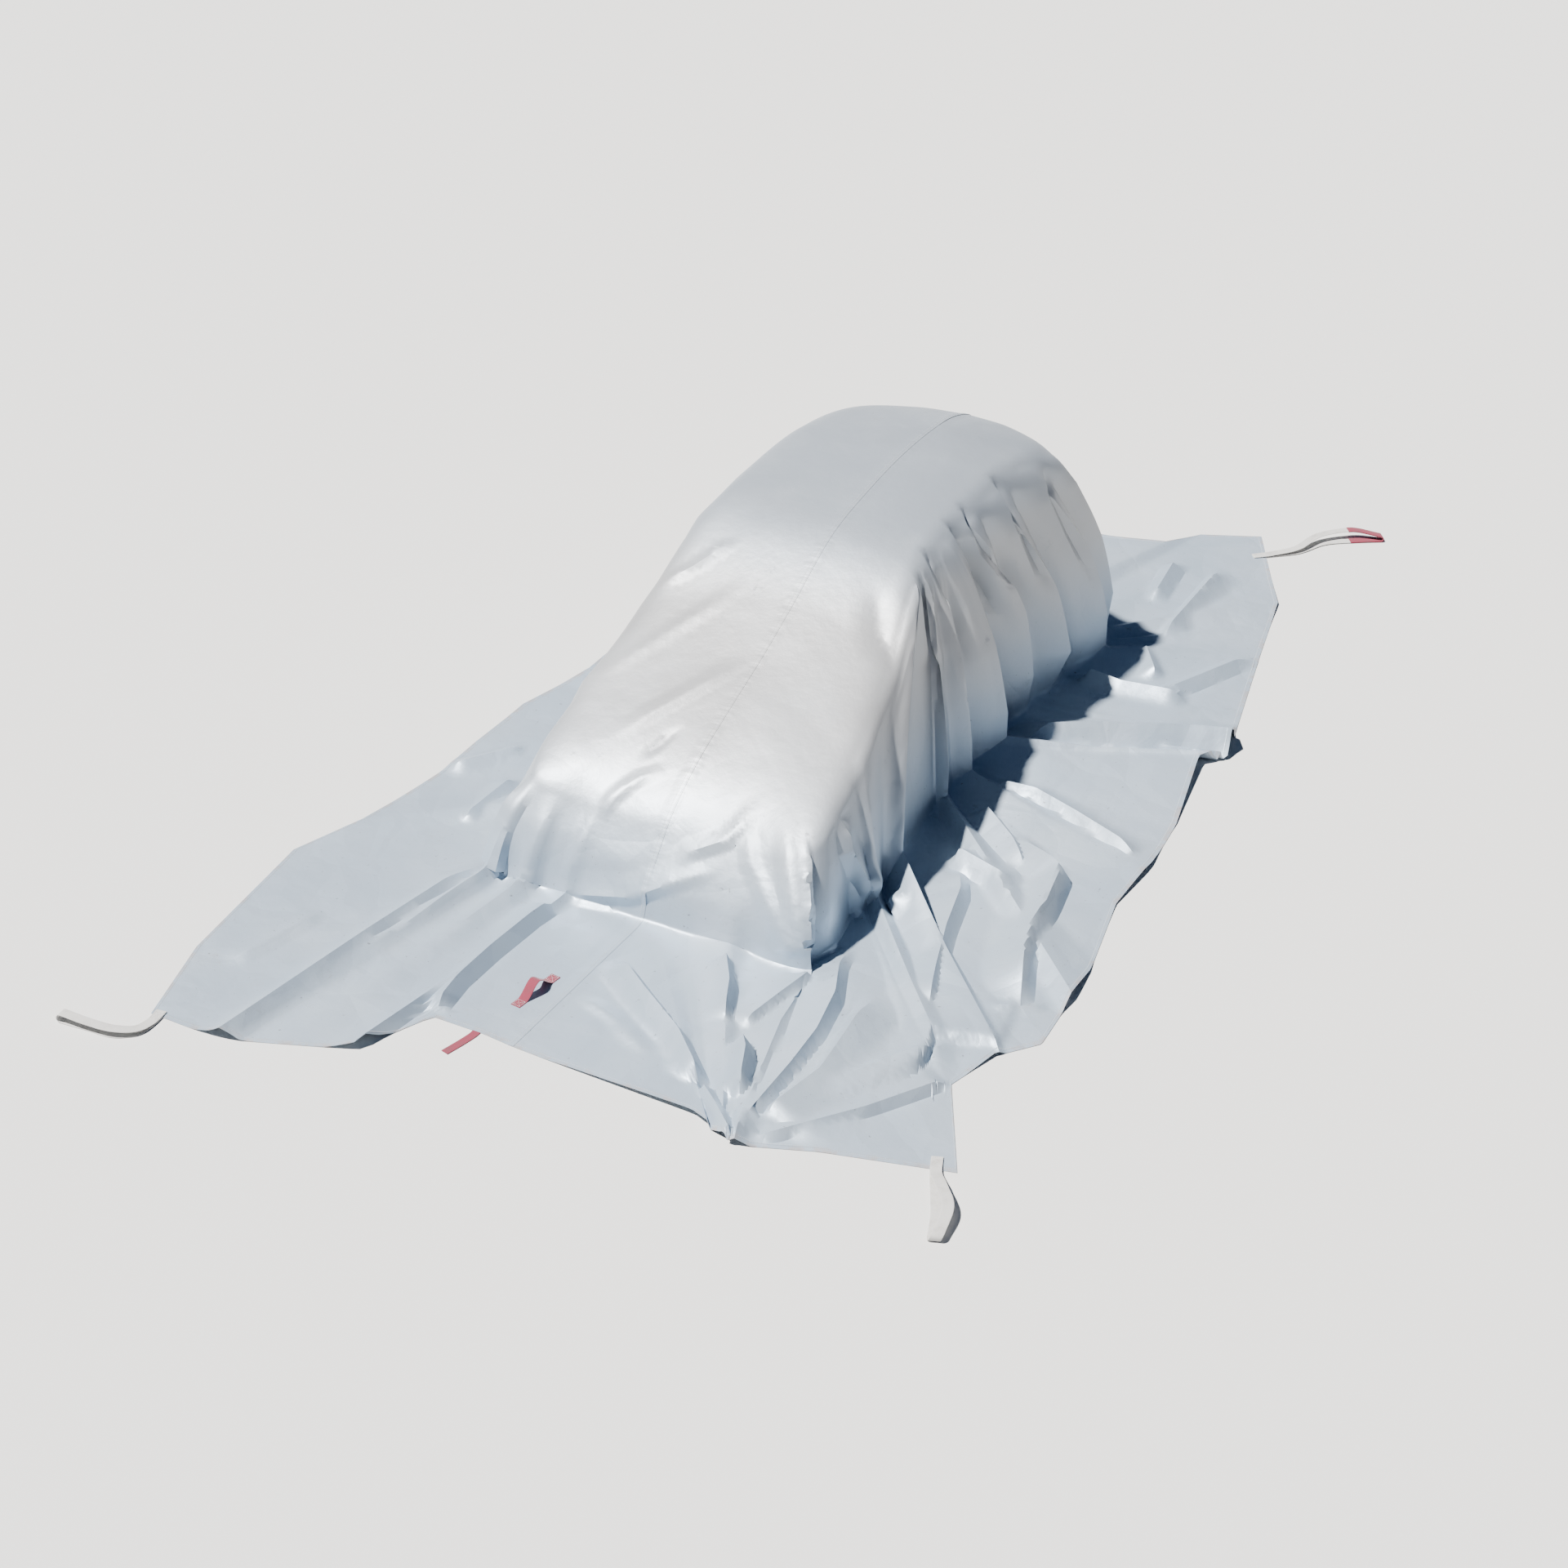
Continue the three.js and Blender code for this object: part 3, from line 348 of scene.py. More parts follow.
# Creases in the hanging cloth, walked along line (x, y, z) in the same way; below zero is a groove.
CREASES = [
    # right wall, where each pleat laps the next one
    dict(rise=-38, left=120, right=45, start=0.15, end=0.5,
         line=[(650, 1590, 1380), (770, 1520, 1220), (870, 1590, 970), (950, 1680, 730), (1020, 1810, 460)]),
    dict(rise=-50, left=140, right=45, start=0.15, end=0.5,
         line=[(510, 1110, 1490), (630, 1070, 1400), (760, 1040, 1260), (820, 1070, 1100), (950, 1190, 670)]),
    dict(rise=-46, left=130, right=45, start=0.15, end=0.5,
         line=[(500, 730, 1470), (630, 640, 1380), (720, 660, 1220), (780, 770, 1050), (870, 1090, 600)]),
    dict(rise=-46, left=120, right=45, start=0.15, end=0.5,
         line=[(490, 520, 1450), (620, 470, 1320), (680, 570, 1100), (740, 650, 920), (800, 710, 760),
               (860, 800, 500)]),
    dict(rise=-42, left=100, right=45, start=0.15, end=0.5,
         line=[(520, 210, 1400), (630, 150, 1310), (710, 150, 1170), (740, 220, 980), (790, 230, 810),
               (860, 220, 560)]),
    dict(rise=-36, left=100, right=45, start=0.15, end=0.5,
         line=[(570, 30, 1340), (660, -30, 1230), (740, -80, 1060), (790, -110, 910), (830, -60, 650),
               (890, 0, 400)]),
    dict(rise=-22, left=160, right=160, start=0.4, end=0.4,
         line=[(390, -120, 1310), (560, -400, 1150), (790, -620, 960)]),
    # front right corner
    dict(rise=60, left=140, right=70,
         line=[(900, -1540, 620), (980, -1570, 450), (1050, -1480, 210), (1100, -1440, 70)]),
    # front, between the foot and the turn
    dict(rise=12, left=60, right=90, start=0.3, end=0.4,
         line=[(-510, -2140, 60), (-470, -2030, 270), (-440, -1910, 410), (-420, -1830, 490)]),
    dict(rise=30, left=150, right=60, start=0.1, end=0.5,
         line=[(-470, -2150, 40), (-80, -2110, 120), (330, -1980, 330), (470, -1870, 450)]),
    dict(rise=22, left=90, right=60, start=0.3, end=0.4,
         line=[(110, -2010, 290), (190, -1930, 390), (380, -1850, 480), (520, -1600, 670)]),
    dict(rise=20, left=90, right=60, start=0.1, end=0.5,
         line=[(1010, -2080, 70), (900, -1990, 300), (780, -1860, 480), (640, -1620, 650)]),
    dict(rise=16, left=80, right=60, start=0.1, end=0.5,
         line=[(1000, -2100, 40), (780, -2030, 250), (560, -1900, 430), (380, -1650, 640)]),
    dict(rise=60, left=80, right=110, start=0.4, end=0,
         line=[(-880, -1800, 500), (-960, -1990, 260), (-1000, -2090, 20)]),
    dict(rise=24, left=70, right=110, start=0.5, end=0,
         line=[(-690, -1860, 490), (-720, -2050, 240), (-730, -2140, 20)]),
    # skirt, small creases beside the ridges
    dict(rise=20, left=60, right=50, line=[(2020, -1990, 20), (2290, -1820, 20)]),
    dict(rise=28, left=70, right=140, line=[(1560, -3100, 60), (1790, -2700, 60), (2060, -2260, 60)]),
    dict(rise=20, left=80, right=60, line=[(60, -2900, 10), (330, -2990, 10), (700, -3220, 30)]),
    # slope, drawn across towards the seam
    dict(rise=18, left=70, right=50, start=0.3, end=0.3,
         line=[(-870, -480, 1070), (-700, -330, 1190), (-510, -90, 1330)]),
    dict(rise=12, left=90, right=60, start=0.3, end=0.4,
         line=[(-830, -1170, 820), (-720, -950, 910), (-570, -720, 1010), (-440, -530, 1100),
               (-310, -310, 1230)]),
    dict(rise=14, left=100, right=60, start=0.4, end=0.3,
         line=[(-580, -1600, 670), (-400, -1320, 790), (-200, -1040, 900), (-60, -800, 1000)]),
    dict(rise=-12, left=50, right=50, line=[(-310, -1560, 670), (-260, -1480, 720), (-220, -1360, 770)]),
    dict(rise=16, left=70, right=60, start=0.3, end=0.5,
         line=[(-410, -1920, 400), (-360, -1800, 520), (-260, -1680, 600), (-80, -1580, 660)]),
]
# A flank narrower than STEEP is straight, a wider one hollow by the power SHARPNESS. RUN_OUT is the
# usual share of a line's length that runs out at each end. A line moves the cloth within DEEP of it
# and the points of the grid within SNAP of it are set on it, where it has more than FAINT of its rise.
SHARPNESS, STEEP, RUN_OUT = 1.6, 130, 0.2
DEEP, SNAP, FAINT = 0.3, 0.06, 0.02
BEYOND = 9.0
LEVEL = np.array([[0.0, 0, 1]])


def beside(points, up, fold):
    """Where points lie by the line a fold is walked along: distance to its left, and its fade there."""
    line = np.array(fold["line"], float) / 1000
    line = np.pad(line, ((0, 0), (0, 3 - line.shape[1])))
    lengths = np.linalg.norm(np.diff(line, axis=0), axis=1)
    left = np.full(len(points), BEYOND)
    fade = np.zeros(len(points))
    for k, size in enumerate(lengths):
        way = (line[k + 1] - line[k]) / size
        t = np.clip((points - line[k]) @ way, 0, size)
        gap = points - line[k] - t[:, None] * way
        off = (gap * up).sum(1)
        flat = np.linalg.norm(gap - off[:, None] * up, axis=1)
        along = (lengths[:k].sum() + t) / lengths.sum()
        rising = smooth(along / max(fold.get("start", RUN_OUT), 1e-6))
        falling = smooth((1 - along) / max(fold.get("end", RUN_OUT), 1e-6))
        nearer = (flat < np.abs(left)) & (np.abs(off) < DEEP)
        side = np.where((np.cross(up, way) * gap).sum(1) > 0, flat, -flat)
        left = np.where(nearer, side, left)
        fade = np.where(nearer, rising * falling, fade)
    return left, fade


def crest(points, up, fold):
    """How far a fold lifts points off the cloth."""
    left, fade = beside(points, up, fold)
    wide = np.where(left > 0, fold["left"], -fold["right"]) / 1000
    power = np.where(np.abs(wide) < STEEP / 1000, 1, SHARPNESS)
    return np.clip(1 - left / wide, 0, 1) ** power * fade * fold["rise"] / 1000


def set_on_lines(grid, up, folds, free):
    """Moves the grid points next to a fold's crest and steep feet onto them, as clean edges."""
    moved, taken = grid.copy(), np.where(free, 0, -1)
    lines = [(fold, 0) for fold in sorted(folds, key=lambda f: -abs(f["rise"]))]
    lines += [(fold, fold["left"] / 1000) for fold in folds if fold["left"] < STEEP]
    lines += [(fold, -fold["right"] / 1000) for fold in folds if fold["right"] < STEEP]
    for number, (fold, offset) in enumerate(lines, 1):
        flat = np.array(fold["line"]).shape[1] == 2
        points = grid.reshape(-1, 3) * ((1, 1, 0) if flat else (1, 1, 1))
        left, fade = beside(points, LEVEL if flat else up, fold)
        left, fade = left.reshape(free.shape) - offset, fade.reshape(free.shape)
        near = (np.abs(left) < SNAP) & (fade > FAINT) & free
        met = {}
        for step in ((1, 0), (0, 1)):
            a = np.s_[:len(grid) - step[0], :grid.shape[1] - step[1]]
            b = np.s_[step[0]:, step[1]:]
            met[step] = np.argwhere(near[a] & near[b] & (left[a] * left[b] < 0))
        di, dj = max(met, key=lambda step: len(met[step]))
        for i, j in met[di, dj]:
            share = left[i, j] / (left[i, j] - left[i + di, j + dj])
            for spot in sorted([(i, j), (i + di, j + dj)], key=lambda end: abs(left[end])):
                if taken[spot] == 0:
                    moved[spot] = grid[i, j] + share * (grid[i + di, j + dj] - grid[i, j])
                    taken[spot] = number
                    break
    return moved, taken


def add_creases(grid):
    """The drape with its creases and ridges, and the number of the line that each point is set on."""
    spoke, ring = np.gradient(grid, axis=0), np.gradient(grid, axis=1)
    normal = np.cross(ring, spoke)
    normal /= np.linalg.norm(normal, axis=2)[..., None] + 1e-12
    normal *= np.sign(normal[len(grid) // 2, 3, 2])
    n = normal.reshape(-1, 3)
    inner = np.zeros(grid.shape[:2], bool)
    inner[1:-1, 1:-1] = True
    on_skirt = np.tile(RINGS > SKIRT_RING, (len(grid), 1))
    grid, taken = set_on_lines(grid, n, RIDGES, inner & on_skirt)
    grid, also = set_on_lines(grid, n, CREASES, inner & (taken < 1))
    taken = np.where(also > 0, also + taken.max(), taken)
    moved = grid.reshape(-1, 3)
    lift = sum(crest(moved, n, crease) for crease in CREASES)
    moved = moved + lift[:, None] * n
    skirt = np.nonzero(np.tile(RINGS, len(grid)) > FOOT_RING)[0]
    ground = moved[skirt] * (1, 1, 0)
    for ridge in RIDGES:
        moved[skirt, 2] = np.maximum(moved[skirt, 2], crest(ground, LEVEL, ridge))
    moved[:, 2] = np.maximum(moved[:, 2], 0)
    return moved.reshape(grid.shape), taken


right_grid, right_edges = add_creases(right_grid)
left_grid, left_edges = add_creases(left_grid)
SHARP_EDGE = 32


def lay_sheet(name, grid, edges):
    """A flat grid of cloth moved to its drape, with its points on the underside."""
    spokes, rings = grid.shape[:2]
    bpy.ops.mesh.primitive_grid_add(x_subdivisions=rings - 1, y_subdivisions=spokes - 1, size=1)
    sheet = bpy.context.object
    sheet.name = name
    place = grid.reshape(-1, 3) + np.array([SEAM_X, SEAM_Y, 0])
    sheet.data.vertices.foreach_set("co", place.ravel())
    hem_way = np.r_[0, np.cumsum(np.linalg.norm(np.diff(grid[:, -1], axis=0), axis=1))]
    inward = np.linalg.norm(np.diff(grid, axis=1), axis=2)[:, ::-1].cumsum(axis=1)[:, ::-1]
    inward = np.pad(inward, ((0, 0), (0, 1)))
    flat = np.stack([np.broadcast_to(hem_way[:, None], inward.shape), inward], axis=2).reshape(-1, 2)
    corner = np.empty(len(sheet.data.loops), int)
    sheet.data.loops.foreach_get("vertex_index", corner)
    sheet.data.uv_layers[0].data.foreach_set("uv", flat[corner].ravel())
    work = bmesh.new()
    work.from_mesh(sheet.data)
    work.verts.ensure_lookup_table()
    work.faces.ensure_lookup_table()
    rising = (edges[:-1, :-1] > 0) & (edges[:-1, :-1] == edges[1:, 1:])
    falling = (edges[1:, :-1] > 0) & (edges[1:, :-1] == edges[:-1, 1:])
    for i, j in np.argwhere(rising ^ falling):
        first, second = ((i, j), (i + 1, j + 1)) if rising[i, j] else ((i + 1, j), (i, j + 1))
        ends = [work.verts[v[0] * rings + v[1]] for v in (first, second)]
        shared = [f for f in ends[0].link_faces if f in ends[1].link_faces[:]]
        bmesh.utils.face_split(shared[0], *ends)
    work.to_mesh(sheet.data)
    work.free()
    facing = np.empty(3 * len(sheet.data.polygons))
    sheet.data.polygons.foreach_get("normal", facing)
    if facing[2::3].sum() < 0:
        sheet.data.flip_normals()
    thick = sheet.modifiers.new("thick", "SOLIDIFY")
    thick.thickness = SHEET
    thick.offset = 1
    bpy.ops.object.modifier_apply(modifier="thick")
    bpy.ops.object.shade_smooth_by_angle(angle=math.radians(SHARP_EDGE))
    return sheet


panel_right = lay_sheet("cloth_right", right_grid, right_edges)
panel_left = lay_sheet("cloth_left", left_grid, left_edges)


class Tone:
    """A shader socket that does sums."""

    def __init__(self, tree, socket):
        self.tree = tree
        self.socket = socket

    def node(self, kind, settings=None, **sockets):
        made = self.tree.nodes.new(kind)
        for name, value in (settings or {}).items():
            setattr(made, name, value)
        for name, value in sockets.items():
            key = int(name[1:]) if name[1:].isdigit() else name.replace("_", " ")
            target = made.inputs[key]
            if isinstance(value, Tone):
                self.tree.links.new(value.socket, target)
            else:
                target.default_value = value
        return lambda out=0: Tone(self.tree, made.outputs[out])

    def sum(self, operation, a, b=0.0):
        return self.node("ShaderNodeMath", {"operation": operation}, _0=a, _1=b)()

    def __add__(self, other):
        return self.sum("ADD", self, other)

    def __radd__(self, other):
        return self.sum("ADD", other, self)

    def __sub__(self, other):
        return self.sum("SUBTRACT", self, other)

    def __rsub__(self, other):
        return self.sum("SUBTRACT", other, self)

    def __mul__(self, other):
        return self.sum("MULTIPLY", self, other)

    def __rmul__(self, other):
        return self.sum("MULTIPLY", other, self)

    def ramp(self, low, high):
        return self.node("ShaderNodeMapRange", {"interpolation_type": "SMOOTHSTEP"},
                         Value=self, From_Min=low, From_Max=high)()

    def noise(self, scale, detail=3.0, rough=0.5, stretch=(1, 1, 1)):
        spread = self.node("ShaderNodeMapping", None, Vector=self, Scale=stretch)()
        return self.node("ShaderNodeTexNoise", None, Vector=spread, Scale=scale, Detail=detail,
                         Roughness=rough)()

    def mix(self, first, second):
        return self.node("ShaderNodeMix", {"data_type": "RGBA"}, _0=self, _6=first, _7=second)(2)


def start_material(name):
    """A new material, its shader and its object coordinates."""
    made = bpy.data.materials.new(name)
    made.use_nodes = True
    tree = made.node_tree
    shader = tree.nodes["Principled BSDF"]
    coords = tree.nodes.new("ShaderNodeTexCoord")
    return made, shader, Tone(tree, coords.outputs["Object"])


def feed(tone, shader, socket):
    tone.tree.links.new(tone.socket, shader.inputs[socket])


coating, coating_shader, place = start_material("silver_coating")
chart = place.node("ShaderNodeUVMap")()
from_hem = chart.node("ShaderNodeSeparateXYZ", None, Vector=chart)(1)
height = place.node("ShaderNodeSeparateXYZ", None, Vector=place)(2)
seam_off = place.node("ShaderNodeSeparateXYZ", None, Vector=place)(0) - SEAM_X
near_seam = 1 - seam_off.sum("ABSOLUTE", seam_off).ramp(0.015, 0.07)
upper = height.ramp(0.15, 0.9)
# Painted light in the base tone: the flat skirt and the roof are bluer as painted sky reflection, and the
# slope between them is a neutral grey as painted sunlit tone. The cloud, scuff, speck and soil tones below
# are the cloth's own.
skirt_sky_reflection_blue, slope_sunlit_grey, roof_sky_reflection_blue = (0.36, 0.44, 0.53, 1), (0.37, 0.375, 0.385, 1), (0.32, 0.36, 0.41, 1)
cloud_pale, scuff_grey = (0.45, 0.49, 0.53, 1), (0.22, 0.23, 0.25, 1)
speck_black, soil_brown = (0.14, 0.14, 0.15, 1), (0.42, 0.33, 0.28, 1)
cloud = place.noise(0.9, 4, 0.6).ramp(0.35, 0.7)
scuff = place.noise(3.2, 6, 0.75).ramp(0.58, 0.70) * place.noise(22, 4, 0.7).ramp(0.48, 0.62)
speck = place.noise(34, 3, 0.6).ramp(0.68, 0.74) * (1 - upper)
hem_soil = (1 - from_hem.ramp(0.0, 0.05)) * place.noise(9, 4, 0.7).ramp(0.45, 0.6)
# Blended by height: painted sky reflection on the skirt and the roof, painted sunlit grey on the slope.
tint = height.ramp(1.1, 1.4).mix(upper.mix(skirt_sky_reflection_blue, slope_sunlit_grey), roof_sky_reflection_blue)
tint = (cloud * 0.3).mix(tint, cloud_pale)
tint = (scuff * 0.5).mix(tint, scuff_grey)
tint = (speck * 0.6).mix(tint, speck_black)
tint = (hem_soil * 0.5).mix(tint, soil_brown)
feed(tint, coating_shader, "Base Color")
feed(0.42 + cloud * 0.10 + scuff * 0.2, coating_shader, "Roughness")
coating_shader.inputs["Metallic"].default_value = 0.35
# The relief is in metres: plates and chips of crumpled cloth, mostly on the skirt, drag lines,
# puckers along the seam, the turned hem and the weave.
PLATE_RISE, CHIP_RISE, DRAG_RISE = 0.016, 0.0045, 0.0035
PUCKER_RISE, HEM_RISE, WEAVE_RISE = 0.004, 0.0012, 0.0002
warp = place.noise(1.6, 2, 0.5)
bent = place.node("ShaderNodeVectorMath", {"operation": "MULTIPLY_ADD"},
                  _0=warp, _1=(0.25, 0.25, 0.25), _2=place)()
plates = place.node("ShaderNodeTexVoronoi", {"feature": "DISTANCE_TO_EDGE"}, Vector=bent, Scale=2.3)()
chips = place.node("ShaderNodeTexVoronoi", {"feature": "DISTANCE_TO_EDGE"}, Vector=bent, Scale=6.0)()
chipped = place.noise(1.1, 2, 0.5).ramp(0.4, 0.6)
crumple = (plates * PLATE_RISE + chips * CHIP_RISE * chipped) * (1 - upper * 0.8)
drag = place.noise(5, 4, 0.6) + place.noise(16, 3, 0.5) * 0.25
pucker = place.noise(17, 2, 0.5, (0.2, 1, 1)) * near_seam
hem_fold = 1 - from_hem.ramp(0.026, 0.031)
cloth_weave = place.noise(420, 2, 0.5)
relief = crumple + drag * DRAG_RISE + pucker * PUCKER_RISE + hem_fold * HEM_RISE + cloth_weave * WEAVE_RISE
bump = place.node("ShaderNodeBump", None, Height=relief, Strength=1.0, Distance=1.0)()
feed(bump, coating_shader, "Normal")

# Middle seam: the edge of the right width is lapped over the left one and sewn down in two rows,
# which draws the cloth on both sides into small puckers.
SEAM_EDGES = (-0.020, -0.0195, -0.012, 0, 0.007, 0.0135, 0.014)
SEAM_LIFTS = (0.0013, 0.0018, 0.0021, 0.0023, 0.0021, 0.0018, 0.0013)
LAP = 0.001
seam_line = np.concatenate([right_grid[0, ::-1], right_grid[1:-1, 0], right_grid[-1]]) * (0, 1, 1)
seam_line = seam_line[np.r_[True, np.linalg.norm(np.diff(seam_line, axis=0), axis=1) > 1e-5]]
seam_run = np.gradient(seam_line, axis=0)
seam_up = np.cross((1, 0, 0), seam_run / np.linalg.norm(seam_run, axis=1)[:, None])
bpy.ops.mesh.primitive_grid_add(x_subdivisions=len(SEAM_EDGES) - 1, y_subdivisions=len(seam_line) - 1, size=1)
seam = bpy.context.object
lap = np.stack([seam_line + (edge + SEAM_X, SEAM_Y, 0) + seam_up * (SHEET + lift)
                for edge, lift in zip(SEAM_EDGES, SEAM_LIFTS)], axis=1)
seam.data.vertices.foreach_set("co", lap.reshape(-1, 3).ravel())
seam.data.uv_layers[0].data.foreach_set("uv", np.full(2 * len(seam.data.loops), 0.5))
seam.data.update()
thick = seam.modifiers.new("thick", "SOLIDIFY")
thick.thickness = LAP
thick.offset = -1
bpy.ops.object.modifier_apply(modifier="thick")
bpy.ops.object.shade_smooth_by_angle(angle=math.radians(SHARP_EDGE))
panel_right.select_set(True)
bpy.context.view_layer.objects.active = panel_right
bpy.ops.object.join()
bpy.ops.object.select_all(action="DESELECT")

# Stitching: white thread in lockstitch rows, along both sides of the lapped seam and all round the
# hem, each stitch a short bead that lies on the coating.
STITCH, STITCH_PITCH, THREAD, STANDING = 0.007, 0.010, 0.0012, 0.3
HEM_STITCH_IN, HEM_RINGS = 0.026, 6


def sew(name, rows):
    """One mesh of stitches laid along rows of points, each row with the normals under it."""
    bpy.ops.mesh.primitive_ico_sphere_add(subdivisions=1, radius=1)
    bead = bpy.context.object
    shape = np.array([v.co for v in bead.data.vertices])
    faces = np.array([f.vertices[:] for f in bead.data.polygons])
    bpy.data.objects.remove(bead)
    places, turns = [], []
    for line, up in rows:
        walked = np.r_[0, np.cumsum(np.linalg.norm(np.diff(line, axis=0), axis=1))]
        mid = np.arange(STITCH_PITCH / 2, walked[-1], STITCH_PITCH)

        def at(values, where):
            return np.stack([np.interp(where, walked, values[:, k]) for k in range(3)], axis=1)

        run = at(line, mid + STITCH / 2) - at(line, mid - STITCH / 2)
        run /= np.linalg.norm(run, axis=1)[:, None] + 1e-12
        over = at(up, mid)
        over /= np.linalg.norm(over, axis=1)[:, None] + 1e-12
        places.append(at(line, mid) + over * THREAD * STANDING)
        turns.append(np.stack([run * STITCH / 2, np.cross(over, run) * THREAD, over * THREAD], axis=1))
    places, turns = np.concatenate(places), np.concatenate(turns)
    points = places[:, None, :] + np.einsum("vk,skc->svc", shape, turns)
    corners = faces[None] + np.arange(len(places))[:, None, None] * len(shape)
    mesh = bpy.data.meshes.new(name)
    mesh.from_pydata(points.reshape(-1, 3).tolist(), [], corners.reshape(-1, 3).tolist())
    mesh.shade_smooth()
    made = bpy.data.objects.new(name, mesh)
    bpy.context.collection.objects.link(made)
    return made


def inset(line, up, grid, far):
    """The hem line moved in over the cloth by far, each point along its own spoke."""
    back = grid[:, -HEM_RINGS] - grid[:, -1]
    back /= np.linalg.norm(back, axis=1)[:, None]
    return line + back * far + up * SHEET


origin = np.array([SEAM_X, SEAM_Y, 0])
hem_rows = []
for grid, side in ((right_grid, 1), (left_grid, -1)):
    up = np.cross(grid[:, -HEM_RINGS] - grid[:, -1], np.gradient(grid[:, -1], axis=0)) * side
    up /= np.linalg.norm(up, axis=1)[:, None] + 1e-12
    up *= np.sign(up[:, 2:3])
    hem_rows.append((inset(grid[:, -1], up, grid, HEM_STITCH_IN) + origin, up))
hem_stitches = sew("hem_stitches", hem_rows)
seam_stitches = sew("seam_stitches", [(lap[:, 2], seam_up), (lap[:, 4], seam_up)])

thread, thread_shader, place = start_material("white_thread")
twist = place.noise(900, 2, 0.5)
feed(twist.mix((0.50, 0.52, 0.54, 1), (0.72, 0.73, 0.73, 1)), thread_shader, "Base Color")
feed(0.6 + twist * 0.3, thread_shader, "Roughness")
for stitches in (hem_stitches, seam_stitches):
    stitches.data.materials.append(thread)
    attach(stitches, "root")

# Corner pull straps: grey-white polyester webbing, each a doubled length whose two ends lie on the
# corner of the cloth and are sewn through in a crossed box, so that it makes a long loop to pull.
STRAP_WIDE = 0.060
BAND = 0.003
LAID = 0.0005
LOOP_STEPS, TIP_STEPS, BAND_COLUMNS = 57, 14, 7
BAND_EDGE, BAND_SHARP_EDGE = 0.0006, 40
BOX_NEAR, BOX_FAR, BOX_SHARE = 0.012, 0.085, 0.4
LOOP_FRONT_LEFT = [
    # x, y, height of the upper leg over the lower one, drift of it to the side
    (-1770, -4060, 0, 0), (-1755, -4170, 4, 0), (-1770, -4270, 20, 0), (-1850, -4335, 34, 0),
    (-2000, -4350, 40, 10), (-2170, -4365, 46, 0),
]
LOOP_FRONT_RIGHT = [
    (2325, -3210, 0, 0), (2370, -3320, 6, 0), (2430, -3440, 44, 20), (2510, -3600, 56, 52),
    (2574, -3770, 36, 24),
]
LOOP_BACK_RIGHT = [
    (1370, 3660, 0, 0), (1470, 3740, 6, 0), (1610, 3870, 20, 10), (1720, 4080, 40, 45),
    (1880, 4210, 48, 65), (2050, 4320, 24, 12),
]
LOOP_BACK_LEFT = [
    (-1590, 3850, 0, 0), (-1640, 3970, 6, 0), (-1720, 4100, 30, 0), (-1800, 4220, 44, 0),
    (-1900, 4360, 44, 0),
]


def pull_loop(table, lift):
    """Middle points of a looped band and the direction across it: out, round the tip and back."""
    rows = np.array(table, float)
    last = len(rows) - 1
    t = np.linspace(0, 1, LOOP_STEPS)
    ground = np.c_[rows[:, :2], np.zeros(len(rows))]
    spot = spline(ground, t * last) / 1000
    bit = 1e-4
    run = spline(ground, np.minimum(t + bit, 1) * last) - spline(ground, (t - bit).clip(0) * last)
    run /= np.linalg.norm(run, axis=1)[:, None]
    across = np.c_[-run[:, 1], run[:, 0], 0 * t]
    rise = spline(np.c_[rows[:, 2:], np.zeros(len(rows))], t * last) / 1000
    low = SHEET + LAID + (lift - SHEET - LAID) * smooth(t * last - 1) + BAND / 2
    lower = spot + np.outer(low, (0, 0, 1))
    upper = spot + across * rise[:, 1:2] + np.outer(low + BAND + LAID + rise[:, 0].clip(0), (0, 0, 1))
    turn = np.linspace(0, np.pi, TIP_STEPS)[1:-1, None]
    radius = (upper[-1, 2] - lower[-1, 2]) / 2
    tip = lower[-1] + (upper[-1] - lower[-1]) * turn / np.pi * (1, 1, 0)
    tip[:, 2:] = lower[-1, 2] + radius * (1 - np.cos(turn))
    tip += run[-1] * radius * np.sin(turn)
    path = np.concatenate([lower, tip, upper[::-1]])
    return path + origin, np.concatenate([across, np.repeat(across[-1:], len(tip), axis=0), across[::-1]])


def lay_band(name, path, across, profile, thick):
    """Webbing along path, through a profile of points across it and out of its face."""
    side, lift = np.array(profile).T
    run = np.gradient(path, axis=0)
    out = np.cross(across, run)
    out /= np.linalg.norm(out, axis=1)[:, None]
    bpy.ops.mesh.primitive_grid_add(x_subdivisions=len(side) - 1, y_subdivisions=len(path) - 1, size=1)
    strip = bpy.context.object
    strip.name = name
    place = path[:, None] + side[None, :, None] * across[:, None] + lift[None, :, None] * out[:, None]
    strip.data.vertices.foreach_set("co", place.reshape(-1, 3).ravel())
    walked = np.r_[0, np.cumsum(np.linalg.norm(np.diff(path, axis=0), axis=1))]
    around = side[0] + np.r_[0, np.cumsum(np.hypot(np.diff(side), np.diff(lift)))]
    flat = np.stack(np.broadcast_arrays(around[None, :], walked[:, None]), axis=2).reshape(-1, 2)
    corner = np.empty(len(strip.data.loops), int)
    strip.data.loops.foreach_get("vertex_index", corner)
    strip.data.uv_layers[0].data.foreach_set("uv", flat[corner].ravel())
    strip.data.update()
    bpy.ops.object.mode_set(mode="EDIT")
    bpy.ops.mesh.select_all(action="SELECT")
    bpy.ops.mesh.remove_doubles(threshold=1e-5)
    bpy.ops.object.mode_set(mode="OBJECT")
    solid = strip.modifiers.new("thick", "SOLIDIFY")
    solid.thickness = thick
    solid.offset = 0
    edge = strip.modifiers.new("edge", "BEVEL")
    edge.width = BAND_EDGE
    edge.segments = 2
    edge.limit_method = "ANGLE"
    for made in ("thick", "edge"):
        bpy.ops.object.modifier_apply(modifier=made)
    bpy.ops.object.shade_smooth_by_angle(angle=math.radians(BAND_SHARP_EDGE))
    return strip


def flat_profile(wide):
    return [(side, 0) for side in np.linspace(-wide / 2, wide / 2, BAND_COLUMNS)]


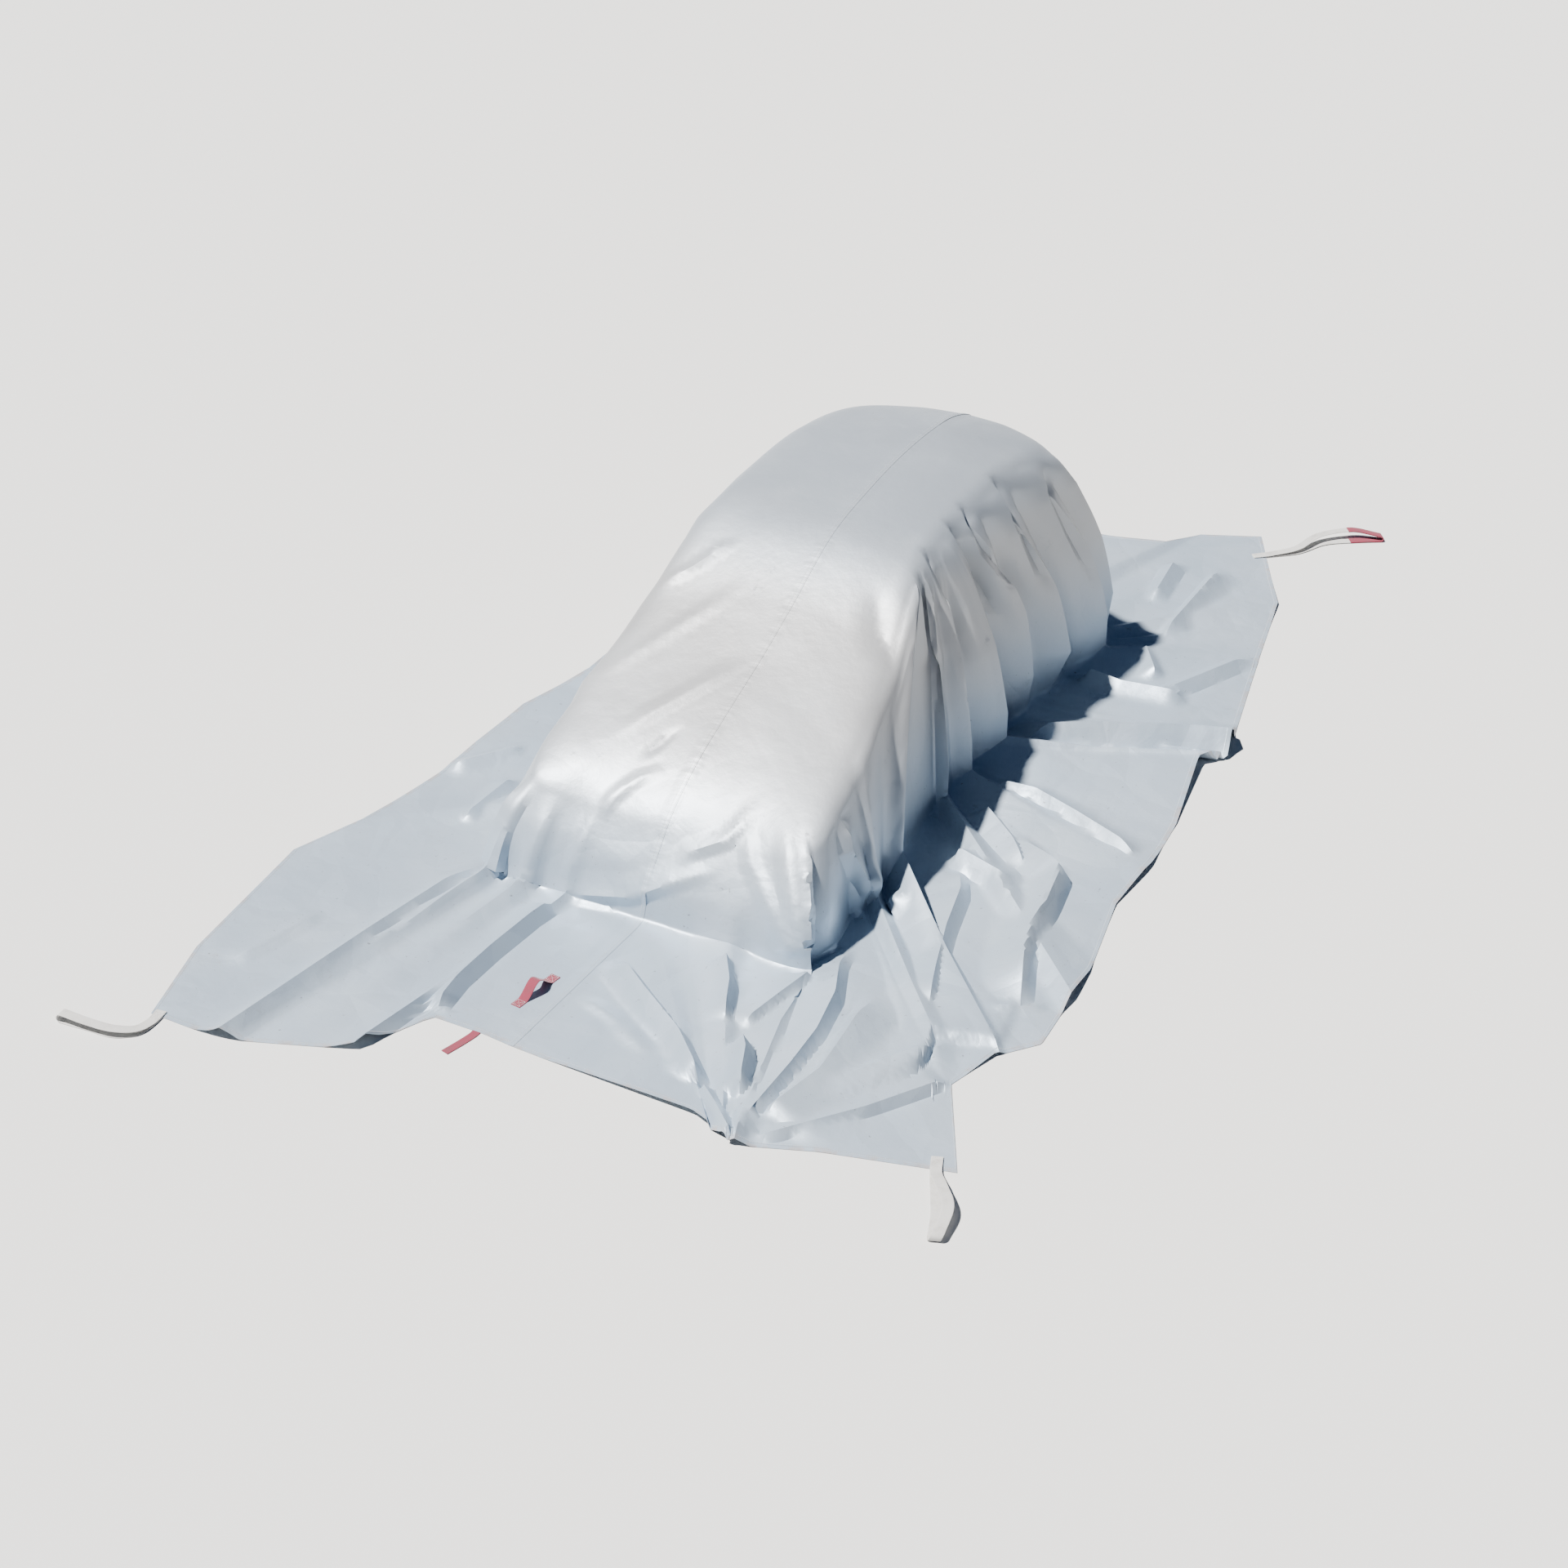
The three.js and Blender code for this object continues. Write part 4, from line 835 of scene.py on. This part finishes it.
def box_stitch(path, across, wide, near, far):
    """Rows of a crossed box sewn on a band between two distances from the end of its path."""
    walked = np.r_[0, np.cumsum(np.linalg.norm(np.diff(path[::-1], axis=0), axis=1))]

    def spot(along, side):
        p = np.array([np.interp(along, walked, path[::-1, k]) for k in range(3)])
        a = np.array([np.interp(along, walked, across[::-1, k]) for k in range(3)])
        return p + a * side + (0, 0, BAND / 2)

    half = wide * BOX_SHARE
    corners = [(near, -half), (far, -half), (far, half), (near, half), (near, -half), (far, half)]
    legs = list(zip(corners, corners[1:])) + [((near, half), (far, -half))]
    flat_up = np.array([[0.0, 0, 1], [0, 0, 1]])
    return [(np.stack([spot(*a), spot(*b)]), flat_up) for a, b in legs]


def webbing(name, light, dark, soil):
    """Woven tape: ribs across and along its own map, with soiled streaks."""
    made, shader, place = start_material(name)
    chart = place.node("ShaderNodeUVMap")()
    across = chart.node("ShaderNodeSeparateXYZ", None, Vector=chart)(0)
    along = chart.node("ShaderNodeSeparateXYZ", None, Vector=chart)(1)
    ribs, picks = 3900.0, 2600.0
    rib = across.sum("SINE", across * ribs)
    pick = along.sum("SINE", along * picks + across.sum("ABSOLUTE", across) * picks)
    weave = rib * pick * 0.5 + 0.5
    dirt = place.noise(14, 5, 0.7).ramp(0.45, 0.75)
    tint = weave.mix(dark, light)
    tint = (dirt * 0.6).mix(tint, soil)
    feed(tint, shader, "Base Color")
    feed(0.75 + weave * 0.15, shader, "Roughness")
    shader.inputs["Sheen Weight"].default_value = 0.3
    bump = place.node("ShaderNodeBump", None, Height=weave, Strength=0.5, Distance=0.0006)()
    feed(bump, shader, "Normal")
    return made


grey_webbing = webbing("grey_webbing", (0.62, 0.61, 0.59, 1), (0.40, 0.40, 0.39, 1), (0.33, 0.31, 0.29, 1))
SLEEVE_WALL = 0.002
GRIP_LIFT = SLEEVE_WALL + 2 * LAID
box_rows = []
straps = []
for name, table, lift in (
    ("strap_front_left", LOOP_FRONT_LEFT, 0), ("strap_front_right", LOOP_FRONT_RIGHT, 0),
    ("strap_back_right", LOOP_BACK_RIGHT, GRIP_LIFT), ("strap_back_left", LOOP_BACK_LEFT, GRIP_LIFT),
):
    path, across = pull_loop(table, lift)
    strap = lay_band("webbing_" + name, path, across, flat_profile(STRAP_WIDE), BAND)
    strap.data.materials.clear()
    strap.data.materials.append(grey_webbing)
    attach(strap, "root")
    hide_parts(name)
    straps.append(strap)
    box_rows += box_stitch(path, across, STRAP_WIDE, BOX_NEAR, BOX_FAR)

# Red sleeves: a tube of red webbing drawn over the loop end of each back strap and sewn on, where
# the hand takes hold.
GRIP_FROM = 44
half_wide = STRAP_WIDE / 2 + LAID + SLEEVE_WALL / 2
half_thick = BAND / 2 + LAID + SLEEVE_WALL / 2
red_webbing = webbing("red_webbing", (0.26, 0.02, 0.05, 1), (0.15, 0.009, 0.027, 1), (0.12, 0.04, 0.05, 1))
tube = [(0, half_thick), (half_wide, half_thick), (half_wide, -half_thick), (0, -half_thick),
        (-half_wide, -half_thick), (-half_wide, half_thick), (0, half_thick)]
for name, table in (("grip_back_right", LOOP_BACK_RIGHT), ("grip_back_left", LOOP_BACK_LEFT)):
    path, across = pull_loop(table, GRIP_LIFT)
    held = np.s_[GRIP_FROM:-GRIP_FROM]
    grip = lay_band("webbing_" + name, path[held], across[held], tube, SLEEVE_WALL)
    grip.data.materials.clear()
    grip.data.materials.append(red_webbing)
    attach(grip, "root")
    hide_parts(name)
    straps.append(grip)

# Hand loop and tail: red webbing. The loop is sewn down at both ends and stands in an arch between
# them; the tail comes out from under the front hem and lies on the ground.
HANDLE_WIDE, TAIL_WIDE, BAND_STEPS = 0.060, 0.048, 90
HANDLE_BOX_NEAR, HANDLE_BOX_FAR = 0.008, 0.056
HANDLE = [(-172, -3139, 0), (-165, -3079, 0), (-161, -3049, 18), (-152, -2970, 72), (-143, -2891, 18),
          (-139, -2861, 0), (-132, -2801, 0)]
TAIL = [(-225, -3420.6, 0), (-225, -3450, 0), (-240, -3530, 0), (-270, -3650, 0)]
for name, table, wide, lift in (
    ("handle_front", HANDLE, HANDLE_WIDE, SHEET + LAID), ("tab_front", TAIL, TAIL_WIDE, 0),
):
    row = np.linspace(0, len(table) - 1, BAND_STEPS)
    path = spline(table, row) / 1000
    run = np.gradient(path, axis=0)
    across = np.c_[-run[:, 1], run[:, 0], 0 * row]
    across /= np.linalg.norm(across, axis=1)[:, None]
    path[:, 2] = path[:, 2].clip(0) + lift + BAND / 2
    path += origin
    band = lay_band("webbing_" + name, path, across, flat_profile(wide), BAND)
    band.data.materials.clear()
    band.data.materials.append(red_webbing)
    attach(band, "root")
    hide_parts(name)
    straps.append(band)
    if name == "handle_front":
        box_rows += box_stitch(path, across, wide, HANDLE_BOX_NEAR, HANDLE_BOX_FAR)
        box_rows += box_stitch(path[::-1], across, wide, HANDLE_BOX_NEAR, HANDLE_BOX_FAR)
box_stitches = sew("box_stitches", box_rows)
box_stitches.data.materials.append(thread)
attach(box_stitches, "root")

# The two widths of cloth take their finish last, once all that is sewn to them is there.
for cloth, node, sewn in (
    (panel_right, "panel_right", [hem_stitches, seam_stitches]),
    (panel_left, "panel_left", [box_stitches] + straps),
):
    cloth.data.materials.clear()
    cloth.data.materials.append(coating)
    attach(cloth, "root")
    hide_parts(node)
